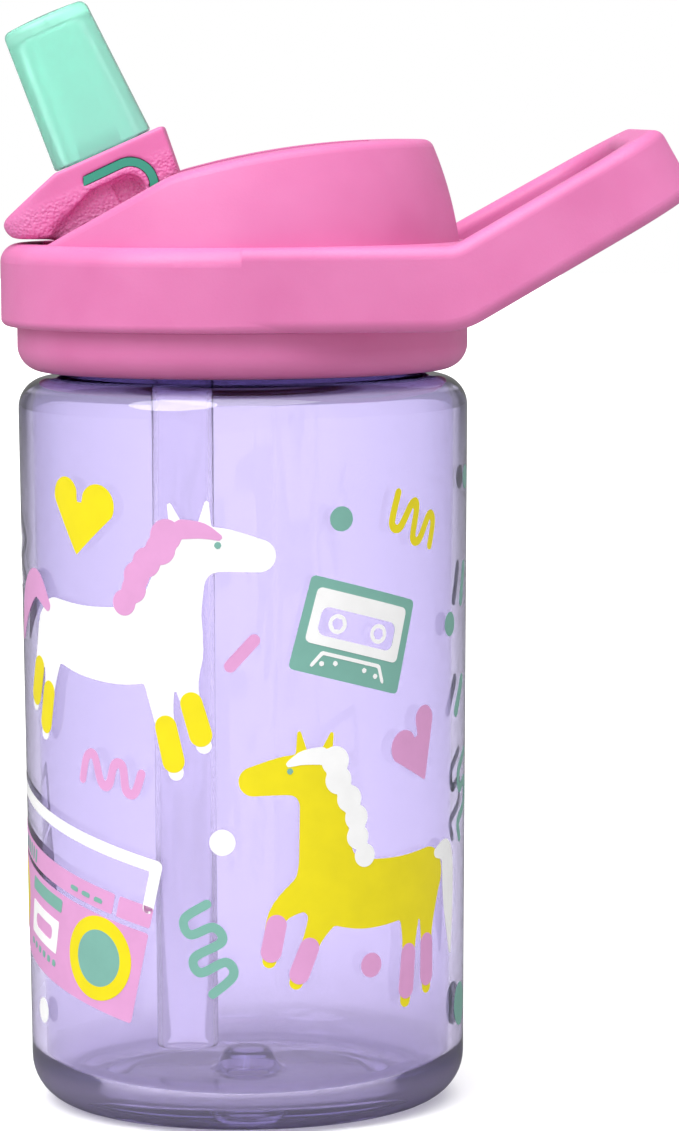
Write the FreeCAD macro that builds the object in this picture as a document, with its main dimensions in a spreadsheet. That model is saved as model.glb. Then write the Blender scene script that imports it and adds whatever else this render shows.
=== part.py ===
"""Kids' water bottle with a screw cap, a carrying loop and a flip-up bite-valve spout.

Frame: the origin is the centre of the base on the bottle's axis, +Z is up, and the
spout stands at -X with the carrying loop at +X.  All sizes are in millimetres.
"""
import FreeCAD, Part

import math
import os
import re

import Sketcher
from FreeCAD import Rotation, Vector

# ----------------------------------------------------------------- driving sizes
SIZES = {
    # bottle
    "body_radius": 37.0,          # at the shoulder
    "base_radius": 35.8,          # at the foot, where the wall has tapered in
    "shoulder_height": 120.1,
    "base_corner": 7.7,
    "shoulder_corner": 5.0,
    "bottle_wall": 2.3,
    "floor_height": 4.6,          # inside floor above the rest plane
    "push_up": 1.8,               # hollow under the base
    "push_up_radius": 20.0,
    "foot_radius": 23.5,          # inner edge of the foot ring
    "boss_radius": 5.6,           # boss in the middle of the base, at its foot
    "boss_draw": 1.9,             # how much narrower it is at its top
    "boss_rise": 3.6,
    "boss_thin": 0.6,             # hollow under the boss, short of its rise
    "thread_sink": 0.4,           # how far a ridge's root goes into its wall
    "neck_radius": 30.0,
    "neck_length": 12.9,
    # screw thread shared by neck and cap
    "thread_lead": 5.0,
    "thread_turns": 1.0,
    "thread_depth": 1.6,
    "ridge_root": 2.4,
    "ridge_crest": 1.2,
    "thread_gap": 0.4,            # radial room between crest and wall
    "thread_start": 5.1,          # centre of the neck ridge above the shoulder
    # cap insert
    "skirt_gap": 1.0,             # shoulder to skirt
    "skirt_radius": 37.0,
    "skirt_corner": 4.2,
    "skirt_seen": 7.4,            # skirt left below the band
    "weld_step": 0.6,
    "weld_gap": 0.1,
    "gasket_thick": 1.2,
    "plate_thick": 1.8,
    "gasket_clear": 0.4,          # gasket's edge to the bore
    # cap shell
    "band_radius": 39.6,
    "band_height": 13.4,
    "band_top_round": 3.0,
    "band_foot_round": 1.2,
    "shell_wall": 2.2,
    "dome_sink": 6.0,             # how far the dome's wall starts below the band's top
    "dome_radius": 36.2,          # where the dome meets the band
    "dome_crest_radius": 30.6,
    "dome_bulge": 62.0,           # radius of the dome wall's arc
    "dome_round": 2.0,
    "ramp_foot": 31.4,            # left end of the dome
    "knee_reach": 11.0,           # where the ramp eases off, left of the axis
    "knee_rise": 11.3,            # above the band
    "crest_start": 9.5,
    "crest_rise": 16.6,
    "knee_bend": 15.0,
    "crest_bend": 138.0,
    "channel_half": 11.8,
    "channel_left": 33.0,
    "channel_right": 21.0,
    # carrying loop
    "loop_tilt": 29.3,
    "loop_length": 43.6,
    "loop_depth": 12.4,
    "loop_bend_x": 34.6,
    "loop_lean_start": 2.0,       # where the arms start to lean together
    "loop_lean_bend": 40.0,
    "loop_end_half": 31.5,
    "loop_bar": 6.2,
    "loop_corner": 18.0,
    "loop_round": 2.0,
    "loop_under_bend": 14.0,
    "loop_over_bend": 5.0,
    "loop_under_tip": 3.2,
    "loop_over_tip": 2.2,
    # spout
    "pivot_x": -17.8,
    "pivot_rise": 4.0,            # pivot above the band
    "spout_tilt": 23.5,
    "drum_radius": 7.5,
    "drum_gap": 0.06,
    "stem_half": 11.2,
    "trunnion_radius": 2.5,
    "trunnion_gap": 0.05,
    "flow_radius": 2.8,
    "collar_reach": 11.9,         # pivot to the collar's top face
    "collar_left": 12.4,          # corners of the stem's side view, from the pivot
    "collar_left_rise": 7.5,
    "collar_right": 5.1,
    "collar_right_rise": 15.15,
    "heel_right": 7.9,
    "heel_rise": 6.9,
    "tab_reach": 21.6,
    "tab_underside": 3.2,
    "tab_corner": 7.0,
    "heel_corner": 2.2,
    "stem_round": 0.6,
    "tab_tip_drop": 0.8,          # tab's upper corner below the pivot
    "tab_tip_round": 1.3,
    "tab_chamfer": 1.9,
    "tab_under_round": 1.5,
    "tab_flat": 8.4,              # level part of the tab's underside
    "keel_left": 0.653,           # corners inside the drum, as shares of its radius
    "keel_drop": 0.72,
    "back_right": 0.6,
    "back_drop": 0.267,
    "back_heel": 0.76,
    "back_heel_rise": 0.64,
    "heel_round": 1.2,
    "recess_depth": 1.6,
    "recess_step": 0.7,
    "recess_left": 6.6,           # corners of the shallow recess, from the pivot
    "recess_left_rise": 4.7,
    "recess_right": 2.35,
    "recess_rise": 8.9,
    "recess_round": 2.7,
    "recess_drop": 9.0,
    "recess_foot": 14.0,
    "recess_knee": 12.6,
    "recess_knee_drop": 1.6,
    "pocket_left": 3.3,           # corners of the deeper pocket inside it
    "pocket_left_rise": 5.6,
    "pocket_right": 1.9,
    "pocket_rise": 8.0,
    "pocket_round": 2.4,
    "pocket_foot": 0.6,
    "pocket_knee": 0.9,
    "trunnion_root": 8.9,         # where a trunnion starts inside the stem
    "trunnion_short": 0.4,        # trunnion's end short of the shell's outside
    "socket_depth": 5.0,
    "socket_corner": 4.0,
    # bite valve, along the spout's own axis
    "valve_reach": 36.0,
    "valve_base_x": 8.4,          # half sizes of the tapering mouthpiece
    "valve_base_y": 9.9,
    "valve_taper": 3.0,           # degrees each side
    "valve_tip_round": 1.2,
    "valve_corner": 5.6,
    "valve_wall": 2.2,
    "valve_lip": 2.4,
    "plug_x": 6.4,
    "plug_y": 8.2,
    "plug_wall": 1.5,
    "plug_gap": 0.1,
    "plug_corner": 3.9,
    "throat_corner": 2.4,
    "valve_seat": 0.05,           # mouthpiece's foot off the collar
    "slit_length": 9.0,
    "slit_width": 0.3,
    # silicone strip let into the stem
    "strip_width": 1.35,
    "strip_depth": 1.2,
    "strip_gap": 0.05,
    "strip_bend": 4.5,
    "strip_right": 4.4,           # outer edge of the upright leg, from the pivot
    "strip_left": 7.7,            # free end of the long leg
    "strip_slope": 25.0,
    "strip_start_rise": 6.9,
    "strip_foot_rise": 1.0,
    "strip_bar": 0.9,
    "strip_bar_rise": 3.6,
    # straw and its elbow
    "straw_x": -10.0,
    "straw_radius": 5.1,
    "straw_wall": 0.9,
    "straw_foot": 8.6,
    "straw_grip": 5.0,
    "straw_gap": 0.05,
    "elbow_wall": 1.7,
    "elbow_flow": 3.8,
    "elbow_cover": 2.4,
    "sleeve_length": 8.0,
    "elbow_roof": 0.8,
    "elbow_floor": 1.6,
    # spout seat and vent valve
    "seat_x": -19.0,
    "seat_half": 4.0,
    "seat_bed": 0.9,
    "seat_lip": 2.2,              # seat's edge above the drum's lowest point
    "port_radius": 2.4,
    "vent_x": 11.0,
    "vent_stem": 1.6,
    "vent_flap": 5.0,
    "vent_flap_thick": 0.8,
    "vent_head": 2.6,
    "vent_head_thick": 1.2,
    "vent_lift": 0.05,            # head and flap off the plate
    "vent_hole_radius": 0.9,
    "vent_hole_offset": 3.3,
    "soft_gap": 0.08,
}

doc = FreeCAD.newDocument("kids_water_bottle")
sheet = doc.addObject("Spreadsheet::Sheet", "Sizes")
for row, (alias, value) in enumerate(SIZES.items(), start=1):
    sheet.set(f"A{row}", alias)
    sheet.set(f"B{row}", str(value))
    sheet.setAlias(f"B{row}", alias)

# Heights that several pieces share, each worked out once.
DERIVED = {
    "neck_top": "=shoulder_height + neck_length",
    "skirt_foot": "=shoulder_height + skirt_gap",
    "band_foot": "=skirt_foot + skirt_seen + weld_gap",
    "band_top": "=band_foot + band_height",
    "plate_foot": "=neck_top + gasket_thick",
    "plate_top": "=plate_foot + plate_thick",
    "bore_radius": "=neck_radius + thread_depth + thread_gap",
    "neck_bore": "=neck_radius - bottle_wall",
    "weld_radius": "=skirt_radius - weld_step",
    "pivot_height": "=band_top + pivot_rise",
}
for row, (alias, formula) in enumerate(DERIVED.items(), start=len(SIZES) + 1):
    sheet.set(f"A{row}", alias)
    sheet.set(f"B{row}", formula)
    sheet.setAlias(f"B{row}", alias)
    doc.recompute()

pieces = {}


# ----------------------------------------------------------------- small helpers
def size(text):
    """Value of a sheet expression such as 'Sizes.neck_radius + 1'."""
    return float(sheet.evalExpression(text))


def words(text):
    """Give sheet names their prefix: 'neck_top + 1' -> 'Sizes.neck_top + 1'."""
    def prefixed(match):
        name = match.group(0)
        return "Sizes." + name if name in SIZES or name in DERIVED else name
    return re.sub(r"[a-z_]+", prefixed, str(text))


def bind(obj, **fields):
    """Bind properties of an object to sheet expressions."""
    for field, text in fields.items():
        obj.setExpression(field, words(text))
    return obj


def place(obj, at=("0", "0", "0"), axis=None, angle="0"):
    """Bind an object's Placement to sheet expressions."""
    if axis is not None:
        obj.Placement.Rotation = Rotation(Vector(*axis), 1.0)
        obj.setExpression("Placement.Rotation.Angle", words(angle))
    for letter, text in zip("xyz", at):
        obj.setExpression(f"Placement.Base.{letter}", words(text))
    return obj


def cylinder(name, radius, height, at, axis=None, angle="90"):
    """Cylinder standing on the point at."""
    obj = doc.addObject("Part::Cylinder", name)
    bind(obj, Radius=radius, Height=height)
    return place(obj, at, axis, angle)


def box(name, length, width, height, at, axis=None, angle="0"):
    """Box whose lowest corner is at."""
    obj = doc.addObject("Part::Box", name)
    bind(obj, Length=length, Width=width, Height=height)
    return place(obj, at, axis, angle)


def cut(name, base, tool):
    """Base less tool."""
    obj = doc.addObject("Part::Cut", name)
    obj.Base = base
    obj.Tool = tool
    obj.Refine = True
    return obj


def fuse(name, shapes):
    """Several shapes made one."""
    obj = doc.addObject("Part::MultiFuse", name)
    obj.Shapes = shapes
    obj.Refine = True
    return obj


def common(name, first, second):
    """What two shapes share."""
    obj = doc.addObject("Part::Common", name)
    obj.Base = first
    obj.Tool = second
    obj.Refine = True
    return obj


def new_body(name):
    """An empty PartDesign body."""
    return doc.addObject("PartDesign::Body", name)


def new_sketch(body, role, name, offset=None):
    """Sketch on one of the body's own origin planes, at an optional height above it."""
    sketch = body.newObject("Sketcher::SketchObject", name)
    plane = [item for item in body.Origin.OriginFeatures if item.Role == role][0]
    sketch.AttachmentSupport = (plane, [""])
    sketch.MapMode = "FlatFace"
    if offset is not None:
        sketch.setExpression("AttachmentOffset.Base.z", words(offset))
    return sketch


def outline(sketch, corners):
    """Closed outline through corners (x, y[, round-over radius]), every one bound to the sheet."""
    points = [Vector(size(words(c[0])), size(words(c[1])), 0) for c in corners]
    count = len(points)
    first = sketch.GeometryCount
    for i in range(count):
        sketch.addGeometry(Part.LineSegment(points[i], points[(i + 1) % count]), False)
    for i in range(count):
        after = first + (i + 1) % count
        sketch.addConstraint(Sketcher.Constraint("Coincident", first + i, 2, after, 1))
    for i, corner in enumerate(corners):
        for kind, text, value in (("DistanceX", corner[0], points[i].x),
                                  ("DistanceY", corner[1], points[i].y)):
            number = sketch.addConstraint(Sketcher.Constraint(kind, -1, 1, first + i, 1, value))
            sketch.setExpression(f"Constraints[{number}]", words(text))
    doc.recompute()
    for i, corner in enumerate(corners):
        if len(corner) == 3:
            round_corner(sketch, first + (i - 1) % count, first + i,
                         points[(i - 1) % count], points[i], points[(i + 1) % count], corner[2])
    doc.recompute()
    return sketch


def round_corner(sketch, line_in, line_out, before, corner, after, radius):
    """Round one corner of an outline with a bound radius, keeping the corner point."""
    start = sketch.GeometryCount
    sketch.fillet(line_in, line_out, (before + corner) * 0.5, (corner + after) * 0.5,
                  size(words(radius)), True, True)
    arcs = [i for i in range(start, sketch.GeometryCount)
            if isinstance(sketch.Geometry[i], Part.ArcOfCircle)]
    number = sketch.addConstraint(Sketcher.Constraint("Radius", arcs[0], size(words(radius))))
    sketch.setExpression(f"Constraints[{number}]", words(radius))


def revolved(body, name, corners):
    """Revolve a closed (radius, height) outline about the body's Z axis."""
    sketch = outline(new_sketch(body, "XZ_Plane", name + "_outline"), corners)
    feature = body.newObject("PartDesign::Revolution", name)
    feature.Profile = sketch
    feature.ReferenceAxis = (sketch, ["V_Axis"])
    feature.Angle = 360.0
    doc.recompute()
    return feature


def padded(body, name, role, corners, depth, midplane=False, offset=None, reverse=False,
           taper=None):
    """Pad a closed outline that lies on an origin plane, drawn in by an optional taper angle."""
    sketch = outline(new_sketch(body, role, name + "_outline", offset), corners)
    feature = body.newObject("PartDesign::Pad", name)
    feature.Profile = sketch
    feature.Midplane = midplane
    feature.Reversed = reverse
    bind(feature, Length=depth)
    if taper is not None:
        bind(feature, TaperAngle=taper)
    doc.recompute()
    return feature


def screw_ridge(body, name, root, crest, height):
    """Helical thread ridge from the wall at radius root to radius crest."""
    profile = [(root, f"{height} - ridge_root / 2"), (crest, f"{height} - ridge_crest / 2"),
               (crest, f"{height} + ridge_crest / 2"), (root, f"{height} + ridge_root / 2")]
    sketch = outline(new_sketch(body, "XZ_Plane", name + "_outline"), profile)
    feature = body.newObject("PartDesign::AdditiveHelix", name)
    feature.Profile = sketch
    feature.ReferenceAxis = (sketch, ["V_Axis"])
    feature.Mode = "pitch-turns-angle"
    bind(feature, Pitch="thread_lead", Turns="thread_turns")
    doc.recompute()
    return feature


def sharp_edges(shape, keep=lambda edge: True, least_turn=25.0):
    """Numbers of the edges where two faces meet at an angle, not tangentially."""
    numbers = []
    for number, edge in enumerate(shape.Edges, start=1):
        if edge.Degenerated or not keep(edge):
            continue
        faces = shape.ancestorsOfType(edge, Part.Face)
        if len(faces) != 2 or faces[0].isSame(faces[1]):
            continue
        middle = edge.valueAt((edge.FirstParameter + edge.LastParameter) / 2)
        normals = [face.normalAt(*face.Surface.parameter(middle)) for face in faces]
        if math.degrees(normals[0].getAngle(normals[1])) > least_turn:
            numbers.append(number)
    return numbers


def rounded(name, base, radius, keep=lambda edge: True):
    """Round the sharp edges that keep() picks."""
    doc.recompute()
    value = size(words(radius))
    obj = doc.addObject("Part::Fillet", name)
    obj.Base = base
    obj.Edges = [(number, value, value) for number in sharp_edges(base.Shape, keep)]
    doc.recompute()
    return obj


def circle_near(radius, height, slack=0.05):
    """Edge test: a horizontal circle of this radius at this height."""
    def test(edge):
        curve = edge.Curve
        return (isinstance(curve, Part.Circle) and abs(curve.Radius - size(words(radius))) < slack
                and abs(curve.Center.z - size(words(height))) < slack)
    return test


def rectangle(half_x, half_y, corner):
    """Corners of a rounded rectangle centred on the sketch's origin."""
    return [(f"-{half_x}", f"-{half_y}", corner), (half_x, f"-{half_y}", corner),
            (half_x, half_y, corner), (f"-{half_x}", half_y, corner)]


def keep_piece(node, obj):
    """File a finished piece under its node name."""
    obj.Label = node
    pieces[node] = obj
    return obj


# ----------------------------------------------------------------- bottle
def make_bottle():
    """Blow-moulded bottle: tapering wall, foot ring with a push-up, and a threaded neck."""
    body = new_body("bottle_body")
    inner_corner = "base_corner - bottle_wall"
    revolved(body, "bottle_wall_turn", [
        ("0", "push_up + boss_rise - boss_thin"),
        ("boss_radius - bottle_wall - boss_draw / 2", "push_up + boss_rise - boss_thin"),
        ("boss_radius - bottle_wall / 2", "push_up"),
        ("push_up_radius", "push_up"),
        ("foot_radius", "0"),
        ("base_radius", "0", "base_corner"),
        ("body_radius", "shoulder_height", "shoulder_corner"),
        ("neck_radius", "shoulder_height"),
        ("neck_radius", "neck_top"),
        ("neck_bore", "neck_top"),
        ("neck_bore", "shoulder_height - bottle_wall"),
        ("body_radius - bottle_wall", "shoulder_height - bottle_wall",
         "shoulder_corner - bottle_wall / 2"),
        ("base_radius - bottle_wall", "floor_height", inner_corner),
        ("boss_radius", "floor_height"),
        ("boss_radius - boss_draw", "floor_height + boss_rise"),
        ("0", "floor_height + boss_rise"),
    ])
    screw_ridge(body, "neck_thread", "neck_radius - thread_sink", "neck_radius + thread_depth",
                "shoulder_height + thread_start")
    return keep_piece("bottle_body", body)


# ----------------------------------------------------------------- cap insert and its seals
def make_insert():
    """Threaded inner cap: the skirt seen under the band, and the plate over the neck."""
    body = new_body("cap_insert_turn")
    shoulder = "band_foot - weld_gap"
    revolved(body, "insert_turn", [
        ("0", "plate_foot"),
        ("bore_radius", "plate_foot"),
        ("bore_radius", "skirt_foot"),
        ("skirt_radius", "skirt_foot", "skirt_corner"),
        ("skirt_radius", shoulder),
        ("weld_radius", shoulder),
        ("weld_radius", "plate_top"),
        ("0", "plate_top"),
    ])
    screw_ridge(body, "cap_thread", "bore_radius + thread_sink", "bore_radius - thread_depth",
                "shoulder_height + thread_start - thread_lead / 2")
    port = cylinder("insert_port", "port_radius + 0.6", "plate_thick + 2",
                    ("seat_x", "0", "plate_foot - 1"))
    bed = box("insert_seat_bed", "2 * seat_half", "2 * seat_half", "2",
              ("seat_x - seat_half", "-seat_half", "plate_top - seat_bed"))
    vent_post = cylinder("insert_vent_post", "vent_stem + soft_gap", "plate_thick + 2",
                         ("vent_x", "0", "plate_foot - 1"))
    holes = [port, bed, vent_post]
    for i in range(4):
        angle = math.radians(45 + 90 * i)
        x = f"vent_x + vent_hole_offset * {math.cos(angle):.6f}"
        y = f"vent_hole_offset * {math.sin(angle):.6f}"
        holes.append(cylinder(f"insert_vent_hole{i}", "vent_hole_radius", "plate_thick + 2",
                              (x, y, "plate_foot - 1")))
    drilled = cut("cap_insert", body, fuse("insert_holes", holes))
    return keep_piece("cap_insert", drilled)


def make_gasket():
    """Flat silicone ring squeezed between the neck's rim and the plate."""
    outer = cylinder("gasket_outer", "bore_radius - gasket_clear", "gasket_thick - 0.02",
                     ("0", "0", "neck_top + 0.01"))
    inner = cylinder("gasket_inner", "neck_bore + 0.3", "gasket_thick + 2",
                     ("0", "0", "neck_top - 1"))
    return keep_piece("cap_gasket", cut("cap_gasket", outer, inner))


def slot_pad(name, radius, height, start):
    """Upright pad with round ends, from the straw's axis to the spout port's axis."""
    left = cylinder(name + "_port_end", radius, height, ("seat_x", "0", start))
    right = cylinder(name + "_straw_end", radius, height, ("straw_x", "0", start))
    middle = box(name + "_middle", "straw_x - seat_x", f"2 * ({radius})", height,
                 ("seat_x", f"-1 * ({radius})", start))
    return fuse(name, [left, right, middle])


def make_elbow():
    """Elbow under the plate that leads the straw's flow across to the spout's port."""
    grip = "straw_radius + straw_gap"
    deep = "elbow_cover + straw_grip + elbow_floor"
    shell = slot_pad("elbow_block", "elbow_flow + elbow_wall", "elbow_cover + elbow_floor",
                     "plate_foot - elbow_cover - elbow_floor")
    sleeve = cylinder("elbow_sleeve", "straw_radius + straw_gap + elbow_wall",
                      "sleeve_length + elbow_cover",
                      ("straw_x", "0", "plate_foot - elbow_cover - sleeve_length"))
    flow = slot_pad("elbow_flow_slot", "elbow_flow", "elbow_cover + 1", "plate_foot - elbow_cover")
    socket = cylinder("elbow_socket", grip, deep,
                      ("straw_x", "0", f"plate_foot - elbow_cover - ({deep})"))
    roof = slot_pad("elbow_roof_slot", "elbow_flow + elbow_wall", "elbow_roof",
                    "plate_foot - elbow_roof")
    mouth = cylinder("elbow_mouth", "port_radius", "4", ("seat_x", "0", "plate_foot - 3"))
    outer = fuse("elbow_outer", [shell, sleeve])
    hollow = cut("elbow_hollow", outer, fuse("elbow_inner", [flow, socket]))
    lid = cut("elbow_lid", roof, mouth)
    return keep_piece("straw_elbow", fuse("straw_elbow", [hollow, lid]))


def make_straw():
    """Clear straw pressed into the elbow and standing clear of the bottle's floor."""
    top = "plate_foot - elbow_cover"
    outer = cylinder("straw_outer", "straw_radius", f"{top} - straw_foot",
                     ("straw_x", "0", "straw_foot"))
    inner = cylinder("straw_inner", "straw_radius - straw_wall", f"{top} - straw_foot + 2",
                     ("straw_x", "0", "straw_foot - 1"))
    return keep_piece("straw", cut("straw", outer, inner))


def make_seat():
    """Silicone saddle that the spout's drum turns on, with the port through it."""
    block = box("seat_block", "2 * seat_half - 2 * soft_gap", "2 * seat_half - 2 * soft_gap",
                "pivot_height - plate_top + seat_bed - soft_gap",
                ("seat_x - seat_half + soft_gap", "-1 * (seat_half - soft_gap)",
                 "plate_top - seat_bed + soft_gap"))
    drum = cylinder("seat_drum", "drum_radius + drum_gap", "40",
                    ("pivot_x", "20", "pivot_height"), (1, 0, 0))
    port = cylinder("seat_port", "port_radius", "20", ("seat_x", "0", "plate_top - 4"))
    upper = box("seat_trim", "20", "20", "20",
                ("seat_x - 10", "-10", "pivot_height - drum_radius + seat_lip"))
    return keep_piece("spout_seat", cut("spout_seat", block, fuse("seat_tools", [drum, port, upper])))


def make_vent():
    """Umbrella vent valve: a head above the plate, a post through it and a flap below."""
    post = cylinder("vent_post", "vent_stem", "plate_thick + 1.6", ("vent_x", "0", "plate_foot - 0.4"))
    head = cylinder("vent_cap", "vent_head", "vent_head_thick",
                    ("vent_x", "0", "plate_top + vent_lift"))
    flap = doc.addObject("Part::Cone", "vent_cone")
    bind(flap, Radius1="vent_stem + 1", Radius2="vent_flap", Height="vent_flap_thick")
    place(flap, ("vent_x", "0", "plate_foot - vent_lift - vent_flap_thick"))
    return keep_piece("vent_valve", fuse("vent_valve", [post, head, flap]))


# ----------------------------------------------------------------- cap shell
def dome_solid(name, inset):
    """Dome: a bulging turned wall cut to the ramp, knee and crest of its side view."""
    wall = new_body(name + "_wall")
    sketch = new_sketch(wall, "XZ_Plane", name + "_wall_outline")
    foot, crest = size(words(f"dome_radius - {inset}")), size(words(f"dome_crest_radius - {inset}"))
    low, high = size("Sizes.band_top - Sizes.dome_sink"), size("Sizes.band_top + Sizes.crest_rise + 1")
    bulge = size(words(f"dome_bulge - {inset}"))
    half = math.hypot(foot - crest, high - low) / 2
    drop = bulge - math.sqrt(bulge ** 2 - half ** 2)
    along = math.atan2(high - low, crest - foot)
    middle = Vector((foot + crest) / 2 + drop * math.sin(along),
                    (low + high) / 2 - drop * math.cos(along), 0)
    corners = [Vector(0, low, 0), Vector(foot, low, 0), Vector(crest, high, 0), Vector(0, high, 0)]
    sketch.addGeometry(Part.LineSegment(corners[0], corners[1]), False)
    sketch.addGeometry(Part.Arc(corners[1], middle, corners[2]), False)
    sketch.addGeometry(Part.LineSegment(corners[2], corners[3]), False)
    sketch.addGeometry(Part.LineSegment(corners[3], corners[0]), False)
    for first, end, second, start in ((0, 2, 1, 1), (1, 2, 2, 1), (2, 2, 3, 1), (3, 2, 0, 1)):
        sketch.addConstraint(Sketcher.Constraint("Coincident", first, end, second, start))
    ends = ((0, 1, "0", "band_top - dome_sink"), (0, 2, f"dome_radius - {inset}", "band_top - dome_sink"),
            (2, 1, f"dome_crest_radius - {inset}", "band_top + crest_rise + 1"),
            (2, 2, "0", "band_top + crest_rise + 1"))
    for geometry, point, x, z in ends:
        for kind, text in (("DistanceX", x), ("DistanceY", z)):
            number = sketch.addConstraint(
                Sketcher.Constraint(kind, -1, 1, geometry, point, size(words(text))))
            sketch.setExpression(f"Constraints[{number}]", words(text))
    number = sketch.addConstraint(Sketcher.Constraint("Radius", 1, bulge))
    sketch.setExpression(f"Constraints[{number}]", words(f"dome_bulge - {inset}"))
    turn = wall.newObject("PartDesign::Revolution", name + "_turn")
    turn.Profile = sketch
    turn.ReferenceAxis = (sketch, ["V_Axis"])
    turn.Angle = 360.0

    slope = "knee_rise / ( ramp_foot - knee_reach )"
    side = new_body(name + "_side")
    padded(side, name + "_side_pad", "XZ_Plane", [
        (f"-1 * ramp_foot - 5 + {inset}", f"band_top - 5 * {slope} - {inset} * 0.6"),
        ("-1 * knee_reach", f"band_top + knee_rise - {inset}", "knee_bend"),
        ("crest_start", f"band_top + crest_rise - {inset}", "crest_bend"),
        ("dome_radius + 9", f"band_top + crest_rise - {inset}"),
        ("dome_radius + 9", "band_top - 5"),
        (f"-1 * ramp_foot - 5 + {inset}", "band_top - 5"),
    ], "3 * dome_radius", midplane=True)
    return common(name, wall, side)


def make_loop():
    """Carrying loop: two arms that leave the band level, then rise at the loop's tilt."""
    tilt = size("Sizes.loop_tilt")
    cos_tilt = f"{math.cos(math.radians(tilt)):.8f}"
    sin_tilt = f"{math.sin(math.radians(tilt)):.8f}"
    end_x = f"loop_bend_x + loop_length * {cos_tilt}"
    end_z = f"band_foot + loop_length * {sin_tilt}"
    over_run = f"(band_height - loop_depth * {cos_tilt}) * {cos_tilt} / {sin_tilt}"
    over_x = f"loop_bend_x - loop_depth * {sin_tilt} + {over_run}"
    side = new_body("loop_side")
    padded(side, "loop_side_pad", "XZ_Plane", [
        ("0", "band_foot"),
        ("loop_bend_x", "band_foot", "loop_under_bend"),
        (end_x, end_z, "loop_under_tip"),
        (f"{end_x} - loop_depth * {sin_tilt}", f"{end_z} + loop_depth * {cos_tilt}",
         "loop_over_tip"),
        (over_x, "band_top", "loop_over_bend"),
        ("0", "band_top"),
    ], "3 * body_radius", midplane=True)

    plan = new_body("loop_plan")
    inner_end = "loop_length - loop_bar"
    inner_root = "(band_radius - loop_bar)"
    inner_half = "(loop_end_half - loop_bar)"
    back = "-2 * body_radius"
    padded(plan, "loop_plan_pad", "XY_Plane", [
        (back, "-1 * band_radius"),
        ("loop_lean_start", "-1 * band_radius", "loop_lean_bend"),
        ("loop_length + 1", "-1 * loop_end_half", "loop_corner"),
        ("loop_length + 1", "loop_end_half", "loop_corner"),
        ("loop_lean_start", "band_radius", "loop_lean_bend"),
        (back, "band_radius"),
        (back, inner_root),
        ("loop_lean_start", inner_root, "loop_lean_bend + loop_bar"),
        (inner_end, inner_half, "loop_corner - loop_bar"),
        (inner_end, f"-1 * {inner_half}", "loop_corner - loop_bar"),
        ("loop_lean_start", f"-1 * {inner_root}", "loop_lean_bend + loop_bar"),
        (back, f"-1 * {inner_root}"),
    ], "3 * body_radius", midplane=True)
    place(plan, ("loop_bend_x", "0", "band_foot"), (0, 1, 0), "-1 * loop_tilt")
    return common("loop_raw", plan, side)


def make_shell():
    """Outer cap in one moulding: band, hollow dome, the spout's channel and the loop."""
    loop = rounded("loop_block", make_loop(), "loop_round",
                   keep=lambda edge: edge.BoundBox.XMax > 0.5)
    band_raw = cylinder("band_raw", "band_radius", "band_height", ("0", "0", "band_foot"))
    band_soft = rounded("band_soft", band_raw, "band_top_round", circle_near("band_radius", "band_top"))
    band = rounded("band", band_soft, "band_foot_round", circle_near("band_radius", "band_foot"))
    dome = rounded("dome", dome_solid("dome_raw", "0.0"), "dome_round",
                   keep=lambda edge: edge.BoundBox.ZMax > size("Sizes.band_top") + 1)
    outside = fuse("shell_outside", [band, dome, loop])

    bore = cylinder("shell_bore", "weld_radius + weld_gap", "band_height - shell_wall + 1",
                    ("0", "0", "band_foot - 1"))
    hollow = fuse("shell_hollow", [bore, dome_solid("dome_hollow", "shell_wall")])
    skin = cut("shell_skin", outside, hollow)

    tub_reach = "channel_right + channel_left + 2 * shell_wall"
    tub_box = box("tub_box", tub_reach, "2 * (channel_half + shell_wall)", "40",
                  ("-1 * channel_left - shell_wall", "-1 * (channel_half + shell_wall)",
                   "plate_top + 0.05"))
    core = cylinder("tub_core", "weld_radius - 0.5", "band_top - plate_top", ("0", "0", "plate_top"))
    tub = common("tub", tub_box, fuse("tub_space", [core, dome]))
    channel = box("channel", "channel_right + channel_left", "2 * channel_half", "60",
                  ("-1 * channel_left", "-1 * channel_half", "plate_top - 10"))
    bearing = cylinder("trunnion_bore", "trunnion_radius + trunnion_gap",
                       "2 * (channel_half + shell_wall) + 2",
                       ("pivot_x", "channel_half + shell_wall + 1", "pivot_height"), (1, 0, 0))
    solid = fuse("shell_solid", [skin, tub])
    return keep_piece("cap_shell", cut("cap_shell", solid, fuse("shell_cuts", [channel, bearing])))


# ----------------------------------------------------------------- spout
def at_pivot(obj):
    """Place an object drawn about the pivot."""
    return place(obj, ("pivot_x", "0", "pivot_height"))


def along_spout(obj):
    """Place an object drawn along Z so that it follows the spout's own axis from the pivot."""
    return place(obj, ("pivot_x", "0", "pivot_height"), (0, 1, 0), "-1 * spout_tilt")


def strip_corners(grow):
    """Side view of the silicone strip about the pivot, grown by a clearance."""
    tan_slope = f"{math.tan(math.radians(size('Sizes.strip_slope'))):.8f}"
    cos_slope = f"{math.cos(math.radians(size('Sizes.strip_slope'))):.8f}"
    rise = f"strip_start_rise + {grow} / {cos_slope}"
    outer_x = f"strip_right + {grow}"
    inner_x = f"strip_right - strip_width - {grow}"
    drop = f"(strip_width + 2 * {grow}) / {cos_slope}"
    end_x = f"-1 * strip_left - {grow}"
    return [
        (end_x, rise),
        (outer_x, f"{rise} + ({outer_x} + strip_left + {grow}) * {tan_slope}", f"strip_bend + {grow}"),
        (outer_x, f"strip_foot_rise - {grow}"),
        (inner_x, f"strip_foot_rise - {grow}"),
        (inner_x, f"{rise} - {drop} + ({inner_x} + strip_left + {grow}) * {tan_slope}",
         f"strip_bend - strip_width - {grow}"),
        (end_x, f"{rise} - {drop}"),
    ]


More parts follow.
